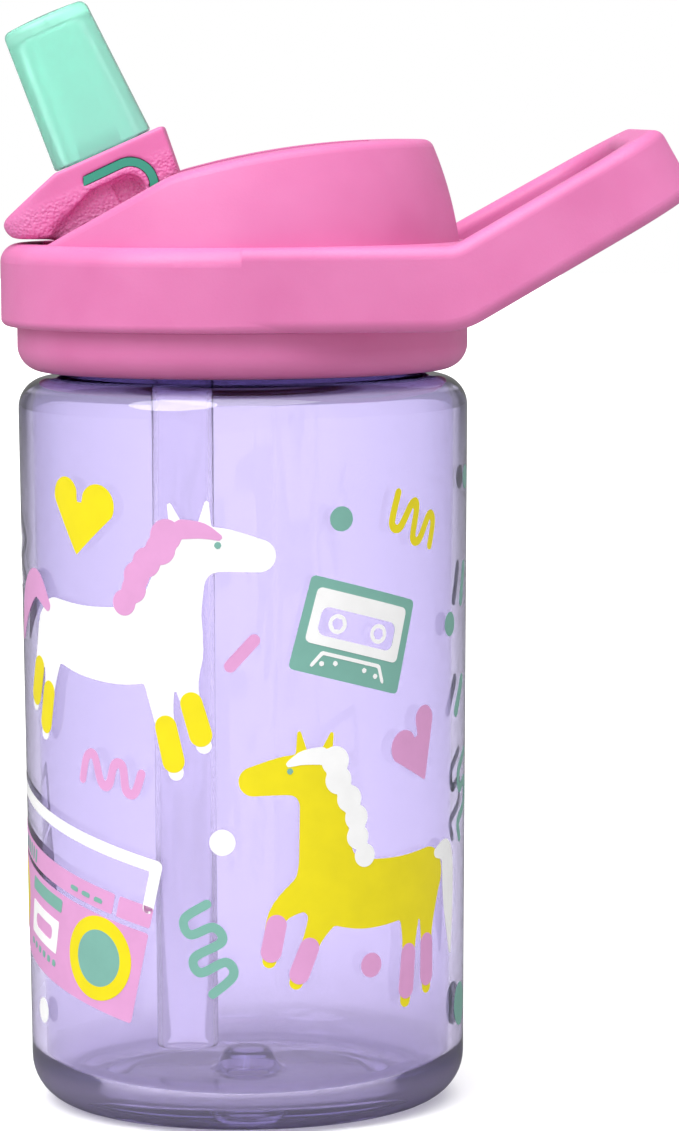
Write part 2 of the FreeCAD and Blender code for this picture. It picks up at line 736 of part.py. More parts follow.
def strip_solid(name, grow, sink):
    """Both legs of the strip, joined by a bar through the stem."""
    parts = []
    for hand, reverse in (("near", False), ("far", True)):
        leg = new_body(f"{name}_{hand}")
        offset = f"stem_half - strip_depth - {grow}"
        padded(leg, f"{name}_{hand}_pad", "XZ_Plane", strip_corners(grow),
               f"strip_depth + {grow} + {sink}",
               offset=f"-1 * ({offset})" if reverse else offset, reverse=reverse)
        parts.append(at_pivot(leg))
    bar = new_body(f"{name}_bar")
    padded(bar, f"{name}_bar_pad", "XZ_Plane", [
        (f"strip_right - strip_bar - {grow}", f"strip_foot_rise - {grow}"),
        (f"strip_right + {grow}", f"strip_foot_rise - {grow}"),
        (f"strip_right + {grow}", f"strip_bar_rise + {grow}"),
        (f"strip_right - strip_bar - {grow}", f"strip_bar_rise + {grow}"),
    ], "2 * stem_half - 1", midplane=True)
    parts.append(at_pivot(bar))
    return fuse(name, parts)


def make_stem():
    """Spout stem: drum and trunnions, thumb tab, collar with its socket, and the flow way."""
    side = new_body("stem_side")
    padded(side, "stem_side_pad", "XZ_Plane", [
        ("-1 * collar_left", "collar_left_rise"),
        ("-1 * tab_reach", "-1 * tab_tip_drop", "tab_tip_round"),
        ("-1 * tab_reach + tab_chamfer", "-1 * tab_underside", "tab_under_round"),
        ("-1 * tab_reach + tab_flat", "-1 * tab_underside"),
        ("-1 * keel_left * drum_radius", "-1 * keel_drop * drum_radius"),
        ("back_right * drum_radius", "-1 * back_drop * drum_radius"),
        ("back_heel * drum_radius", "back_heel_rise * drum_radius"),
        ("heel_right", "heel_rise", "heel_round"),
        ("collar_right", "collar_right_rise"),
    ], "4 * stem_half", midplane=True)
    plan = new_body("stem_plan")
    padded(plan, "stem_plan_pad", "XY_Plane", [
        ("-1 * tab_reach - 0.05", "-1 * stem_half", "tab_corner"),
        ("heel_right + 0.3", "-1 * stem_half", "heel_corner"),
        ("heel_right + 0.3", "stem_half", "heel_corner"),
        ("-1 * tab_reach - 0.05", "stem_half", "tab_corner"),
    ], "60", midplane=True)
    block = common("stem_block", at_pivot(side), at_pivot(plan))
    pivot = Vector(size("Sizes.pivot_x"), 0, size("Sizes.pivot_height"))

    def outside_drum(edge):
        """Edge test: far enough from the pivot to be clear of the drum."""
        middle = edge.CenterOfMass - pivot
        return math.hypot(middle.x, middle.z) > size("Sizes.drum_radius") + 1

    soft = rounded("stem_soft", block, "stem_round", keep=outside_drum)
    drum = cylinder("stem_drum", "drum_radius", "2 * stem_half",
                    ("pivot_x", "stem_half", "pivot_height"), (1, 0, 0))

    socket = new_body("stem_socket")
    padded(socket, "stem_socket_pad", "XY_Plane",
           rectangle("(plug_x + plug_gap)", "(plug_y + plug_gap)", "socket_corner"),
           "socket_depth + 6", offset="collar_reach - socket_depth")
    rise = along_spout(doc.addObject("Part::Cylinder", "stem_rise"))
    bind(rise, Radius="flow_radius", Height="collar_reach")
    bend = doc.addObject("Part::Sphere", "stem_flow_bend")
    at_pivot(bind(bend, Radius="flow_radius"))
    fall = cylinder("stem_fall", "port_radius", "drum_radius + 3",
                    ("seat_x", "0", "pivot_height - drum_radius - 3"))
    tools = [along_spout(socket), rise, bend, fall, strip_solid("strip_slot", "strip_gap", "2")]
    shallow = [
        ("-1 * recess_left", "recess_left_rise"),
        ("recess_right", "recess_rise", "recess_round"),
        ("recess_right", "-1 * recess_drop"),
        ("-1 * recess_foot", "-1 * recess_drop"),
        ("-1 * recess_knee", "-1 * recess_knee_drop"),
    ]
    pocket = [
        ("-1 * pocket_left", "pocket_left_rise"),
        ("pocket_right", "pocket_rise", "pocket_round"),
        ("pocket_right", "-1 * recess_drop"),
        ("-1 * pocket_foot", "-1 * recess_drop"),
        ("-1 * pocket_knee", "pocket_foot"),
    ]
    for hand, sign in (("near", "1"), ("far", "-1")):
        for level, corners, depth in (("shallow", shallow, "recess_depth"),
                                      ("pocket", pocket, "(recess_depth + recess_step)")):
            recess = new_body(f"recess_{level}_{hand}")
            padded(recess, f"recess_{level}_{hand}_pad", "XZ_Plane", corners, f"{depth} + 2",
                   offset=f"{sign} * (stem_half - {depth})", reverse=sign == "-1")
            tools.append(at_pivot(recess))
    hollowed = cut("stem_hollowed", fuse("stem_body", [soft, drum]), fuse("stem_tools", tools))
    solids = [hollowed]
    tip = "(channel_half + shell_wall - trunnion_short)"
    for hand, outer in (("near", "-1 * trunnion_root"), ("far", tip)):
        pin = cylinder(f"trunnion_{hand}", "trunnion_radius", f"{tip} - trunnion_root",
                       ("pivot_x", outer, "pivot_height"), (1, 0, 0))
        solids.append(pin)
    return keep_piece("spout_stem", fuse("spout_stem", solids))


def make_strip():
    """Silicone strip let into both sides of the stem, joined by a bar through it."""
    return keep_piece("stem_seal", strip_solid("stem_seal", "0.0", "0 - 0.05"))


def make_valve():
    """Silicone bite valve: a tapering hollow mouthpiece with a slit, plugged into the collar."""
    start = "collar_reach + valve_seat"
    outside_body = new_body("valve_outside")
    padded(outside_body, "valve_pad", "XY_Plane",
           rectangle("valve_base_x", "valve_base_y", "valve_corner"),
           f"valve_reach - ({start})", offset=start, taper="-1 * valve_taper")
    tip = rounded("valve_soft", outside_body, "valve_tip_round",
                  keep=lambda edge: edge.BoundBox.ZMin > size("Sizes.valve_reach") - 0.1)
    plug = new_body("valve_plug")
    padded(plug, "valve_plug_pad", "XY_Plane", rectangle("plug_x", "plug_y", "plug_corner"),
           "socket_depth + 0.5", offset="collar_reach - socket_depth + 0.1")
    hollow = new_body("valve_hollow")
    hollow_start = "collar_reach - 0.5"
    padded(hollow, "valve_hollow_pad", "XY_Plane",
           rectangle("(valve_base_x - valve_wall)", "(valve_base_y - valve_wall)",
                     "valve_corner - valve_wall"),
           f"valve_reach - valve_lip - ({hollow_start})", offset=hollow_start, taper="-1 * valve_taper")
    throat = new_body("valve_throat")
    padded(throat, "valve_throat_pad", "XY_Plane",
           rectangle("(plug_x - plug_wall)", "(plug_y - plug_wall)", "throat_corner"),
           "socket_depth + 2", offset="collar_reach - socket_depth - 1")
    slit = box("valve_slit", "slit_width", "slit_length", "valve_lip + 2",
               ("-0.5 * slit_width", "-0.5 * slit_length", "valve_reach - valve_lip - 0.5"))
    outside = fuse("valve_solid", [tip, plug])
    inside = fuse("valve_space", [hollow, throat, slit])
    return keep_piece("bite_valve", along_spout(cut("bite_valve", outside, inside)))


# ----------------------------------------------------------------- build, check and write
def main():
    """Make every piece, check the document and write one STEP file per node."""
    for make in (make_bottle, make_insert, make_gasket, make_elbow, make_straw, make_seat,
                 make_vent, make_shell, make_stem, make_strip, make_valve):
        make()
    doc.recompute()
    for obj in doc.Objects:
        if "Invalid" in obj.State or "Error" in obj.State:
            raise RuntimeError(f"{obj.Label} failed: {obj.State}")
    os.makedirs("parts", exist_ok=True)
    for node, obj in pieces.items():
        shape = obj.Shape
        if shape.isNull() or not shape.isValid() or not shape.Solids:
            raise RuntimeError(f"{node} has no valid shape")
        shape.exportStep(f"parts/{node}.step")
        print(f"{node:14s} {len(shape.Solids)} solid, {shape.Volume / 1000:7.2f} cm3")


main()
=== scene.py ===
"""Looks for a kids bottle: clear lilac body, pink flip-spout cap, mint mouthpiece and printed art.

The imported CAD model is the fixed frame. Rigid mouldings of the cap keep their CAD meshes and get
their real finishes. The clear bottle, the straw, the soft mouthpiece and every film of ink are
built here as fine meshes that ride on the same bodies.
"""

import logging
import math
from dataclasses import dataclass
from enum import Enum
from typing import Any, Callable, Optional, Sequence

import bpy
import numpy as np
from mathutils import Matrix, Vector, noise


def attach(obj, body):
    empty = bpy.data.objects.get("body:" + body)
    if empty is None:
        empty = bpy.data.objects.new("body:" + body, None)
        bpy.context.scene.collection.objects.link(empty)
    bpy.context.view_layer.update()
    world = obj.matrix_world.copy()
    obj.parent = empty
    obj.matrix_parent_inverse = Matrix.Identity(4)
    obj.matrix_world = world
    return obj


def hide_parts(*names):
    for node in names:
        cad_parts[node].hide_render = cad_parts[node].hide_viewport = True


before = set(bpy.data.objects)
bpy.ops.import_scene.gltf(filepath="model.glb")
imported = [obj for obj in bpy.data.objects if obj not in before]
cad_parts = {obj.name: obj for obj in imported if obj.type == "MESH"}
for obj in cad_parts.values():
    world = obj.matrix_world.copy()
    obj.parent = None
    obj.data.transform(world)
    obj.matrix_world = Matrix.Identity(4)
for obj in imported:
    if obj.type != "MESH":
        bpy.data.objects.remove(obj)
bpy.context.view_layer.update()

LOG = logging.getLogger("bottle")
MM = 0.001
ON_AXIS_MM = 1e-6
SHORTEST_SQUARED = 1e-9
NOISE_LOW, NOISE_HIGH = 0.3, 0.7
Point = tuple[float, float]
Point3 = tuple[float, float, float]
Box = tuple[float, float, float, float]
Field = np.ndarray


# ------------------------------------------------------------------------------- small helpers
def linear(hex_colour: str) -> tuple[float, float, float, float]:
    """Turn an sRGB hex colour into linear RGBA.

    Args:
        hex_colour: The colour as "#RRGGBB".

    Returns:
        Linear red, green, blue, and an alpha of 1.
    """
    def channel(text: str) -> float:
        """Turn one two-digit hex channel into its linear value."""
        value = int(text, 16) / 255
        return value / 12.92 if value <= 0.04045 else ((value + 0.055) / 1.055) ** 2.4

    return channel(hex_colour[1:3]), channel(hex_colour[3:5]), channel(hex_colour[5:7]), 1.0


def add_node(
    tree: bpy.types.NodeTree,
    kind: str,
    inputs: Optional[dict[Any, Any]] = None,
    **settings: Any,
) -> bpy.types.Node:
    """Add a node, set its properties, and fill or link its sockets.

    Args:
        tree: The node tree that gets the node.
        kind: The node's type, such as "ShaderNodeBump".
        inputs: Socket name or number to a plain value, or to an output socket to link from.
        settings: Properties of the node itself.

    Returns:
        The new node.
    """
    node = tree.nodes.new(kind)
    for name, value in settings.items():
        setattr(node, name, value)
    for socket, value in (inputs or {}).items():
        if isinstance(value, bpy.types.NodeSocket):
            tree.links.new(value, node.inputs[socket])
        else:
            node.inputs[socket].default_value = value
    return node


def new_object(name: str, mesh: bpy.types.Mesh, material: bpy.types.Material) -> bpy.types.Object:
    """Link a mesh into the scene as a smooth-shaded object with one material.

    Args:
        name: The piece's name.
        mesh: Its mesh, in metres in the row frame.
        material: Its only material.

    Returns:
        The new object.
    """
    obj = bpy.data.objects.new(name, mesh)
    bpy.context.scene.collection.objects.link(obj)
    mesh.materials.clear()
    mesh.materials.append(material)
    mesh.polygons.foreach_set("use_smooth", [True] * len(mesh.polygons))
    mesh.update()
    return obj


def crease_sharp(mesh: bpy.types.Mesh, degrees: float) -> None:
    """Keep edges that bend more than an angle crisp under smooth shading.

    Args:
        mesh: The mesh to mark.
        degrees: The least bend that stays crisp.
    """
    mesh.set_sharp_from_angle(angle=math.radians(degrees))


def smoothstep(value: Field) -> Field:
    """Ease a ramp between 0 and 1."""
    held = np.clip(value, 0.0, 1.0)
    return held * held * (3 - 2 * held)


# ------------------------------------------------------------------------------------ finishes
@dataclass(frozen=True)
class Finish:
    """A named material that is made once and then shared."""

    name: str

    def material(self) -> bpy.types.Material:
        """Make the material, or find it if it is already made.

        Returns:
            The material.
        """
        known = bpy.data.materials.get(self.name)
        if known:
            return known
        made = bpy.data.materials.new(self.name)
        made.use_nodes = True
        tree = made.node_tree
        tree.nodes.clear()
        place = add_node(tree, "ShaderNodeTexCoord").outputs["Object"]
        output = add_node(tree, "ShaderNodeOutputMaterial")
        self.dress(tree, place, output)
        return made

    def dress(
        self, tree: bpy.types.NodeTree, place: bpy.types.NodeSocket, output: bpy.types.Node
    ) -> None:
        """Fill the material's node tree; each finish has its own."""
        raise NotImplementedError

    def noise(
        self,
        tree: bpy.types.NodeTree,
        place: bpy.types.NodeSocket,
        size_mm: float,
        detail: float = 2.0,
    ) -> bpy.types.NodeSocket:
        """Noise whose lumps are about one real size across.

        Args:
            tree: The node tree.
            place: The coordinates, in metres.
            size_mm: Width of one lump.
            detail: Octaves of finer noise in it.

        Returns:
            The noise value, from 0 to 1.
        """
        return add_node(
            tree, "ShaderNodeTexNoise",
            {"Vector": place, "Scale": 1 / (size_mm * MM), "Detail": detail, "Roughness": 0.55},
        ).outputs[0]

    def spread(
        self, tree: bpy.types.NodeTree, value: bpy.types.NodeSocket, low: float, high: float
    ) -> bpy.types.NodeSocket:
        """Map a noise value onto a range.

        Args:
            tree: The node tree.
            value: The noise, mostly between NOISE_LOW and NOISE_HIGH.
            low: What its darkest lumps become.
            high: What its brightest lumps become.

        Returns:
            The mapped value.
        """
        return add_node(
            tree, "ShaderNodeMapRange",
            {"Value": value, "From Min": NOISE_LOW, "From Max": NOISE_HIGH,
             "To Min": low, "To Max": high},
        ).outputs[0]

    def blend(
        self, tree: bpy.types.NodeTree, share: Any, first: Any, second: Any
    ) -> bpy.types.NodeSocket:
        """Mix two colours.

        Args:
            tree: The node tree.
            share: How much of the second colour there is, from 0 to 1.
            first: Linear RGBA, or a socket.
            second: Linear RGBA, or a socket.

        Returns:
            The mixed colour.
        """
        return add_node(
            tree, "ShaderNodeMix", {"Factor": share, "A": first, "B": second}, data_type="RGBA"
        ).outputs["Result"]

    def bump(
        self,
        tree: bpy.types.NodeTree,
        height: bpy.types.NodeSocket,
        depth_mm: float,
        strength: float,
    ) -> bpy.types.Node:
        """Raise and sink the skin without changing its shape.

        Args:
            tree: The node tree.
            height: The pattern, from 0 to 1.
            depth_mm: How far it goes from lowest to highest.
            strength: How much of that the light shows.

        Returns:
            The bump node.
        """
        return add_node(
            tree, "ShaderNodeBump",
            {"Height": height, "Distance": depth_mm * MM, "Strength": strength},
        )

    def skin(
        self, tree: bpy.types.NodeTree, output: bpy.types.Node, sockets: dict[str, Any]
    ) -> bpy.types.Node:
        """Put one shader on the surface.

        Args:
            tree: The node tree.
            output: The material's output node.
            sockets: The shader's values and links, by socket name.

        Returns:
            The shader.
        """
        shader = add_node(tree, "ShaderNodeBsdfPrincipled", sockets)
        tree.links.new(shader.outputs[0], output.inputs["Surface"])
        return shader

    def deepen(
        self, tree: bpy.types.NodeTree, output: bpy.types.Node, colour: str, density_per_mm: float
    ) -> None:
        """Tint the inside, so that thick stretches are deeper in colour.

        Args:
            tree: The node tree.
            output: The material's output node.
            colour: What is left of white light, as sRGB hex.
            density_per_mm: How fast the rest goes.
        """
        depth = add_node(
            tree, "ShaderNodeVolumeAbsorption",
            {"Color": linear(colour), "Density": density_per_mm / MM},
        )
        tree.links.new(depth.outputs[0], output.inputs["Volume"])


@dataclass(frozen=True)
class SparkErodedPolypropylene(Finish):
    """Polypropylene moulded in a spark-eroded tool: satin, softly translucent, with a fine grain.

    The grain is about 0.1 mm across on the real part. It is drawn 0.4 mm across, and deeper than
    it is by the relief, so that it shows.
    """

    colour: str = "#E07DB4"
    deep: str = "#DA74AC"
    grain_mm: float = 0.42
    grain_depth_mm: float = 0.010
    relief: float = 4.0
    drift_mm: float = 14.0
    roughness: float = 0.42

    def dress(
        self, tree: bpy.types.NodeTree, place: bpy.types.NodeSocket, output: bpy.types.Node
    ) -> None:
        """Satin pigmented body with a pitted skin and slow colour drift.

        Args:
            tree: The node tree.
            place: Object coordinates.
            output: The material's output node.
        """
        drift = self.spread(tree, self.noise(tree, place, self.drift_mm), 0.0, 1.0)
        tint = self.blend(tree, drift, linear(self.colour), linear(self.deep))
        grain = self.noise(tree, place, self.grain_mm, 3.0)
        gloss = self.spread(tree, grain, self.roughness - 0.04, self.roughness + 0.06)
        pits = self.bump(tree, grain, self.grain_depth_mm * self.relief, 0.5)
        self.skin(tree, output, {
            "Base Color": tint, "Roughness": gloss, "Normal": pits.outputs[0], "IOR": 1.49,
            "Subsurface Weight": 0.18, "Subsurface Radius": (1.0, 0.45, 0.7),
            "Subsurface Scale": 1.4 * MM,
        })


@dataclass(frozen=True)
class PebbledPolypropylene(SparkErodedPolypropylene):
    """The same plastic with a leather-like pebble below the collar, so that a thumb grips it."""

    pebble_mm: float = 0.5
    pebble_depth_mm: float = 0.05
    pebble_relief: float = 5.0
    pivot: Point3 = (-17.8, 0.0, 146.0)
    spout_tilt: float = 23.5
    smooth_from_mm: float = 8.5
    fade_mm: float = 1.5

    def dress(
        self, tree: bpy.types.NodeTree, place: bpy.types.NodeSocket, output: bpy.types.Node
    ) -> None:
        """Add pebbles that fade out along the spout's own axis.

        Args:
            tree: The node tree.
            place: Object coordinates.
            output: The material's output node.
        """
        super().dress(tree, place, output)
        shader = output.inputs["Surface"].links[0].from_node
        fine = shader.inputs["Normal"].links[0].from_socket
        tilt = math.radians(self.spout_tilt)
        along = add_node(
            tree, "ShaderNodeVectorMath",
            {0: place, 1: (-math.sin(tilt), 0.0, math.cos(tilt))}, operation="DOT_PRODUCT",
        ).outputs["Value"]
        level = (-math.sin(tilt) * self.pivot[0] + math.cos(tilt) * self.pivot[2]) * MM
        fade = add_node(
            tree, "ShaderNodeMapRange",
            {"Value": along, "From Min": level + (self.smooth_from_mm - self.fade_mm) * MM,
             "From Max": level + self.smooth_from_mm * MM, "To Min": 1.0, "To Max": 0.0},
        ).outputs[0]
        cells = add_node(
            tree, "ShaderNodeTexVoronoi",
            {"Vector": place, "Scale": 1 / (self.pebble_mm * MM), "Smoothness": 0.6},
            feature="SMOOTH_F1",
        ).outputs["Distance"]
        pebbles = add_node(tree, "ShaderNodeMath", {0: cells, 1: fade}, operation="MULTIPLY")
        depth = self.pebble_depth_mm * self.pebble_relief
        bump = self.bump(tree, pebbles.outputs[0], depth, 1.0)
        tree.links.new(fine, bump.inputs["Normal"])
        tree.links.new(bump.outputs[0], shader.inputs["Normal"])


@dataclass(frozen=True)
class TintedCopolyester(Finish):
    """Blow-moulded clear copolyester, tinted lilac: glass-clear, with painted shade where the wall is
    seen edge on.

    The mesh says where each tint holds: "outside" on the body's outer face, where the rims take their
    painted shade, "wall" above the base, and "shoulder" at the top, where painted shade stands for the
    dark band under the cap.
    """

    # Painted rim shade: the tint darkens to near black as the wall turns away from the view. A little of
    # that is the longer path through the wall; most of it is painted shade.
    painted_rim_shade: tuple[tuple[float, str], ...] = (
        (0.0, "#D9D3E8"), (0.30, "#BAB5CD"), (0.48, "#86809C"), (0.62, "#1A1726"), (1.0, "#14121C"),
    )
    edge_bias: float = 0.35
    face: str = "#D9D3E8"
    base: str = "#E8DFFB"
    # Painted shade: dark purple for the shoulder and neck, where the cap shades them.
    shoulder: str = "#463A66"
    base_haze: float = 0.17
    depth_colour: str = "#8169E4"
    density_per_mm: float = 0.02
    ripple_mm: float = 9.0

    def dress(
        self, tree: bpy.types.NodeTree, place: bpy.types.NodeSocket, output: bpy.types.Node
    ) -> None:
        """Clear tinted wall with painted shade on its rims and under the cap, and the faint ripple that
        blowing leaves.

        Args:
            tree: The node tree.
            place: Object coordinates.
            output: The material's output node.
        """
        facing = add_node(tree, "ShaderNodeLayerWeight", {"Blend": self.edge_bias}).outputs["Facing"]
        rim = add_node(tree, "ShaderNodeValToRGB", {"Fac": facing})
        stops = rim.color_ramp.elements
        while len(stops) < len(self.painted_rim_shade):
            stops.new(0.5)
        for stop, (where, colour) in zip(stops, self.painted_rim_shade):
            stop.position = where
            stop.color = linear(colour)
        wall, outside, high = (
            add_node(tree, "ShaderNodeAttribute", attribute_name=name).outputs["Fac"]
            for name in ("wall", "outside", "shoulder")
        )
        tint = self.blend(tree, wall, linear(self.base), linear(self.face))
        # Painted rim shade on the outer wall, by how far the wall turns away.
        tint = self.blend(tree, outside, tint, rim.outputs["Color"])
        # Painted shade under the cap, on the shoulder and neck.
        tint = self.blend(tree, high, tint, linear(self.shoulder))
        ripple = self.bump(tree, self.noise(tree, place, self.ripple_mm, 1.0), 0.03, 0.3)
        # The thick, uneven base scatters some of the light, so it's paler than clear glass would be.
        clear = add_node(
            tree, "ShaderNodeMath", {0: wall, 1: self.base_haze, 2: 1.0 - self.base_haze},
            operation="MULTIPLY_ADD",
        )
        self.skin(tree, output, {
            "Base Color": tint, "Roughness": 0.015, "IOR": 1.54,
            "Transmission Weight": clear.outputs[0], "Normal": ripple.outputs[0],
        })
        self.deepen(tree, output, self.depth_colour, self.density_per_mm)


@dataclass(frozen=True)
class ExtrudedPolypropyleneTube(Finish):
    """Natural polypropylene, extruded as a thin tube: clear with a slight milky haze and draw lines."""

    colour: str = "#FDFCFF"
    line_mm: float = 0.6
    line_stretch: float = 0.03

    def dress(
        self, tree: bpy.types.NodeTree, place: bpy.types.NodeSocket, output: bpy.types.Node
    ) -> None:
        """Hazy clear wall with faint lines along the draw.

        Args:
            tree: The node tree.
            place: Object coordinates.
            output: The material's output node.
        """
        drawn = add_node(
            tree, "ShaderNodeMapping", {"Vector": place, "Scale": (1.0, 1.0, self.line_stretch)}
        )
        lines = self.noise(tree, drawn.outputs[0], self.line_mm)
        haze = self.spread(tree, lines, 0.03, 0.07)
        ribs = self.bump(tree, lines, 0.02, 0.4)
        self.skin(tree, output, {
            "Base Color": linear(self.colour), "Roughness": haze, "IOR": 1.42,
            "Transmission Weight": 0.98, "Normal": ribs.outputs[0],
        })


@dataclass(frozen=True)
class TranslucentSilicone(Finish):
    """Liquid silicone rubber, moulded and see-through: soft gloss, cloudy, deeper where it is thick."""

    colour: str = "#BFFDEE"
    depth_colour: str = "#6FE6C4"
    density_per_mm: float = 0.03
    cloud_mm: float = 3.0
    bloom_mm: float = 0.9

    def dress(
        self, tree: bpy.types.NodeTree, place: bpy.types.NodeSocket, output: bpy.types.Node
    ) -> None:
        """Cloudy tinted rubber with a faint dusty bloom.

        Args:
            tree: The node tree.
            place: Object coordinates.
            output: The material's output node.
        """
        cloud = self.noise(tree, place, self.cloud_mm, 3.0)
        gloss = self.spread(tree, cloud, 0.14, 0.20)
        bloom = self.bump(tree, self.noise(tree, place, self.bloom_mm), 0.003, 0.2)
        self.skin(tree, output, {
            "Base Color": linear(self.colour), "Roughness": gloss, "IOR": 1.41,
            "Transmission Weight": 0.6, "Normal": bloom.outputs[0],
        })
        self.deepen(tree, output, self.depth_colour, self.density_per_mm)


@dataclass(frozen=True)
class MattSilicone(Finish):
    """Pigmented silicone rubber, moulded: solid colour, dull and slightly velvety."""

    colour: str = "#37A082"
    roughness: float = 0.55
    bloom_mm: float = 0.6

    def dress(
        self, tree: bpy.types.NodeTree, place: bpy.types.NodeSocket, output: bpy.types.Node
    ) -> None:
        """Dull rubber with a fine bloom.

        Args:
            tree: The node tree.
            place: Object coordinates.
            output: The material's output node.
        """
        bloom = self.noise(tree, place, self.bloom_mm, 3.0)
        gloss = self.spread(tree, bloom, self.roughness - 0.06, self.roughness + 0.08)
        dust = self.bump(tree, bloom, 0.03, 0.35)
        self.skin(tree, output, {
            "Base Color": linear(self.colour), "Roughness": gloss, "IOR": 1.41,
            "Normal": dust.outputs[0], "Sheen Weight": 0.15, "Sheen Roughness": 0.5,
        })


@dataclass(frozen=True)
class ScreenPrintedInk(Finish):
    """Screen-printed ink, cured on the wall: opaque, even, with the mesh's slight orange peel."""

    colour: str = "#FFFFFF"
    peel_mm: float = 0.8
    mottle_mm: float = 5.0
    thin_tone: float = 0.94

    def dress(
        self, tree: bpy.types.NodeTree, place: bpy.types.NodeSocket, output: bpy.types.Node
    ) -> None:
        """Flat opaque ink with a little unevenness in tone and gloss.

        Args:
            tree: The node tree.
            place: Object coordinates.
            output: The material's output node.
        """
        base = linear(self.colour)
        thin = tuple(channel * self.thin_tone for channel in base[:3]) + (1.0,)
        mottle = self.spread(tree, self.noise(tree, place, self.mottle_mm, 3.0), 0.0, 1.0)
        tone = self.blend(tree, mottle, base, thin)
        peel = self.noise(tree, place, self.peel_mm)
        gloss = self.spread(tree, peel, 0.30, 0.38)
        bump = self.bump(tree, peel, 0.01, 0.4)
        self.skin(
            tree, output,
            {"Base Color": tone, "Roughness": gloss, "Normal": bump.outputs[0], "IOR": 1.5},
        )


@dataclass(frozen=True)
class SweepPaper(Finish):
    """Matt white studio paper, plain and pale; it throws back less light than it shows, as if flagged."""

    colour: str = "#FBFBFB"
    shade: str = "#A2A2A2"
    flagged: str = "#606060"
    fibre_mm: float = 2.0

    def dress(
        self, tree: bpy.types.NodeTree, place: bpy.types.NodeSocket, output: bpy.types.Node
    ) -> None:
        """Plain matt paper.

        Args:
            tree: The node tree.
            place: Object coordinates.
            output: The material's output node.
        """
        fibre = self.spread(tree, self.noise(tree, place, self.fibre_mm), 0.85, 0.9)
        path = add_node(tree, "ShaderNodeLightPath").outputs
        mirrored = add_node(
            tree, "ShaderNodeMath", {0: path["Is Reflection Ray"], 1: path["Is Glossy Ray"]},
            operation="MULTIPLY",
        )
        paper = self.blend(tree, path["Is Diffuse Ray"], linear(self.colour), linear(self.shade))
        paper = self.blend(tree, mirrored.outputs[0], paper, linear(self.flagged))
        self.skin(tree, output, {"Base Color": paper, "Roughness": fibre})


class Pigment(Enum):
    """The inks of the print."""

    YELLOW = "#F3E200"
    PINK = "#E5A2D6"
    TEAL = "#7FB7AA"
    WHITE = "#FFFFFF"

    def finish(self) -> ScreenPrintedInk:
        """The ink of this pigment as a finish."""
        return ScreenPrintedInk(f"screen_printed_ink_{self.name.lower()}", self.value)


# --------------------------------------------------------------------------- turned mouldings
def rounded_profile(corners: Sequence[tuple[float, float, float]], step: float = 7.5) -> list[Point]:
    """Round the corners of a turned part's half section.

    Args:
        corners: Radius, height and rounding of each corner, in millimetres.
        step: Degrees of each rounding between two points.

    Returns:
        The points of the half section, in millimetres.
    """
    points: list[Point] = []
    for index, (x, y, rounding) in enumerate(corners):
        if rounding <= 0 or index in (0, len(corners) - 1):
            points.append((x, y))
            continue
        corner = Vector((x, y))
        before = (Vector(corners[index - 1][:2]) - corner).normalized()
        after = (Vector(corners[index + 1][:2]) - corner).normalized()
        half = before.angle(after) / 2
        centre = corner + (before + after).normalized() * rounding / math.sin(half)
        start = corner + before * rounding / math.tan(half) - centre
        sweep = start.angle_signed(corner + after * rounding / math.tan(half) - centre)
        count = max(2, math.ceil(math.degrees(abs(sweep)) / step))
        for i in range(count + 1):
            turn = -sweep * i / count
            points.append((
                centre.x + start.x * math.cos(turn) - start.y * math.sin(turn),
                centre.y + start.x * math.sin(turn) + start.y * math.cos(turn),
            ))
    return points


def divided(points: Sequence[Point], longest: float, low: float, high: float) -> list[Point]:
    """Divide the runs of a profile that lie between two heights.

    Args:
        points: The profile.
        longest: Longest run left, in millimetres.
        low: Lowest height that is divided.
        high: Highest height that is divided.

    Returns:
        The profile with more points.
    """
    made = [points[0]]
    for (x0, y0), (x1, y1) in zip(points, points[1:]):
        inside = min(y0, y1) >= low and max(y0, y1) <= high
        count = max(1, math.ceil(math.hypot(x1 - x0, y1 - y0) / longest)) if inside else 1
        made += [(x0 + (x1 - x0) * i / count, y0 + (y1 - y0) * i / count) for i in range(1, count + 1)]
    return made


def turned_mesh(
    name: str,
    profile: Sequence[Point],
    segments: int,
    axis: Point = (0.0, 0.0),
    push: Optional[Callable[[Field, Field, Field], tuple[Field, Field]]] = None,
    closed: bool = False,
) -> bpy.types.Mesh:
    """Turn a half section about an upright axis into a mesh.

    Args:
        name: The mesh's name.
        profile: Radius and height of each point, in millimetres.
        segments: How many steps the turn has.
        axis: Where the axis stands in plan.
        push: Takes angle, radius and height of the points and gives new radius and height.
        closed: True if the profile is a ring that doesn't touch the axis.

    Returns:
        The mesh, in metres.
    """
    rows = [p for p in profile if p[0] > ON_AXIS_MM]
    angle = np.linspace(0, 2 * math.pi, segments, endpoint=False)[None, :]
    radius = np.repeat(np.array([r for r, _ in rows])[:, None], segments, 1)
    height = np.repeat(np.array([z for _, z in rows])[:, None], segments, 1)
    if push:
        radius, height = push(np.repeat(angle, len(rows), 0), radius, height)
    grid = np.stack([
        axis[0] + radius * np.cos(angle), axis[1] + radius * np.sin(angle), height,
    ], -1).reshape(-1, 3)
    points = [tuple(p) for p in grid * MM]
    faces: list[tuple[int, ...]] = []
    count = len(rows)
    for row in range(count if closed else count - 1):
        low, high = row * segments, (row + 1) % count * segments
        for i in range(segments):
            j = (i + 1) % segments
            faces.append((low + i, low + j, high + j, high + i))
    if not closed:
        for pole, row in ((profile[0], 0), (profile[-1], count - 1)):
            points.append((axis[0] * MM, axis[1] * MM, pole[1] * MM))
            hub, start = len(points) - 1, row * segments
            for i in range(segments):
                j = (i + 1) % segments
                faces.append((hub, start + j, start + i) if row == 0 else (hub, start + i, start + j))
    mesh = bpy.data.meshes.new(name)
    mesh.from_pydata(points, [], faces)
    mesh.update()
    return mesh


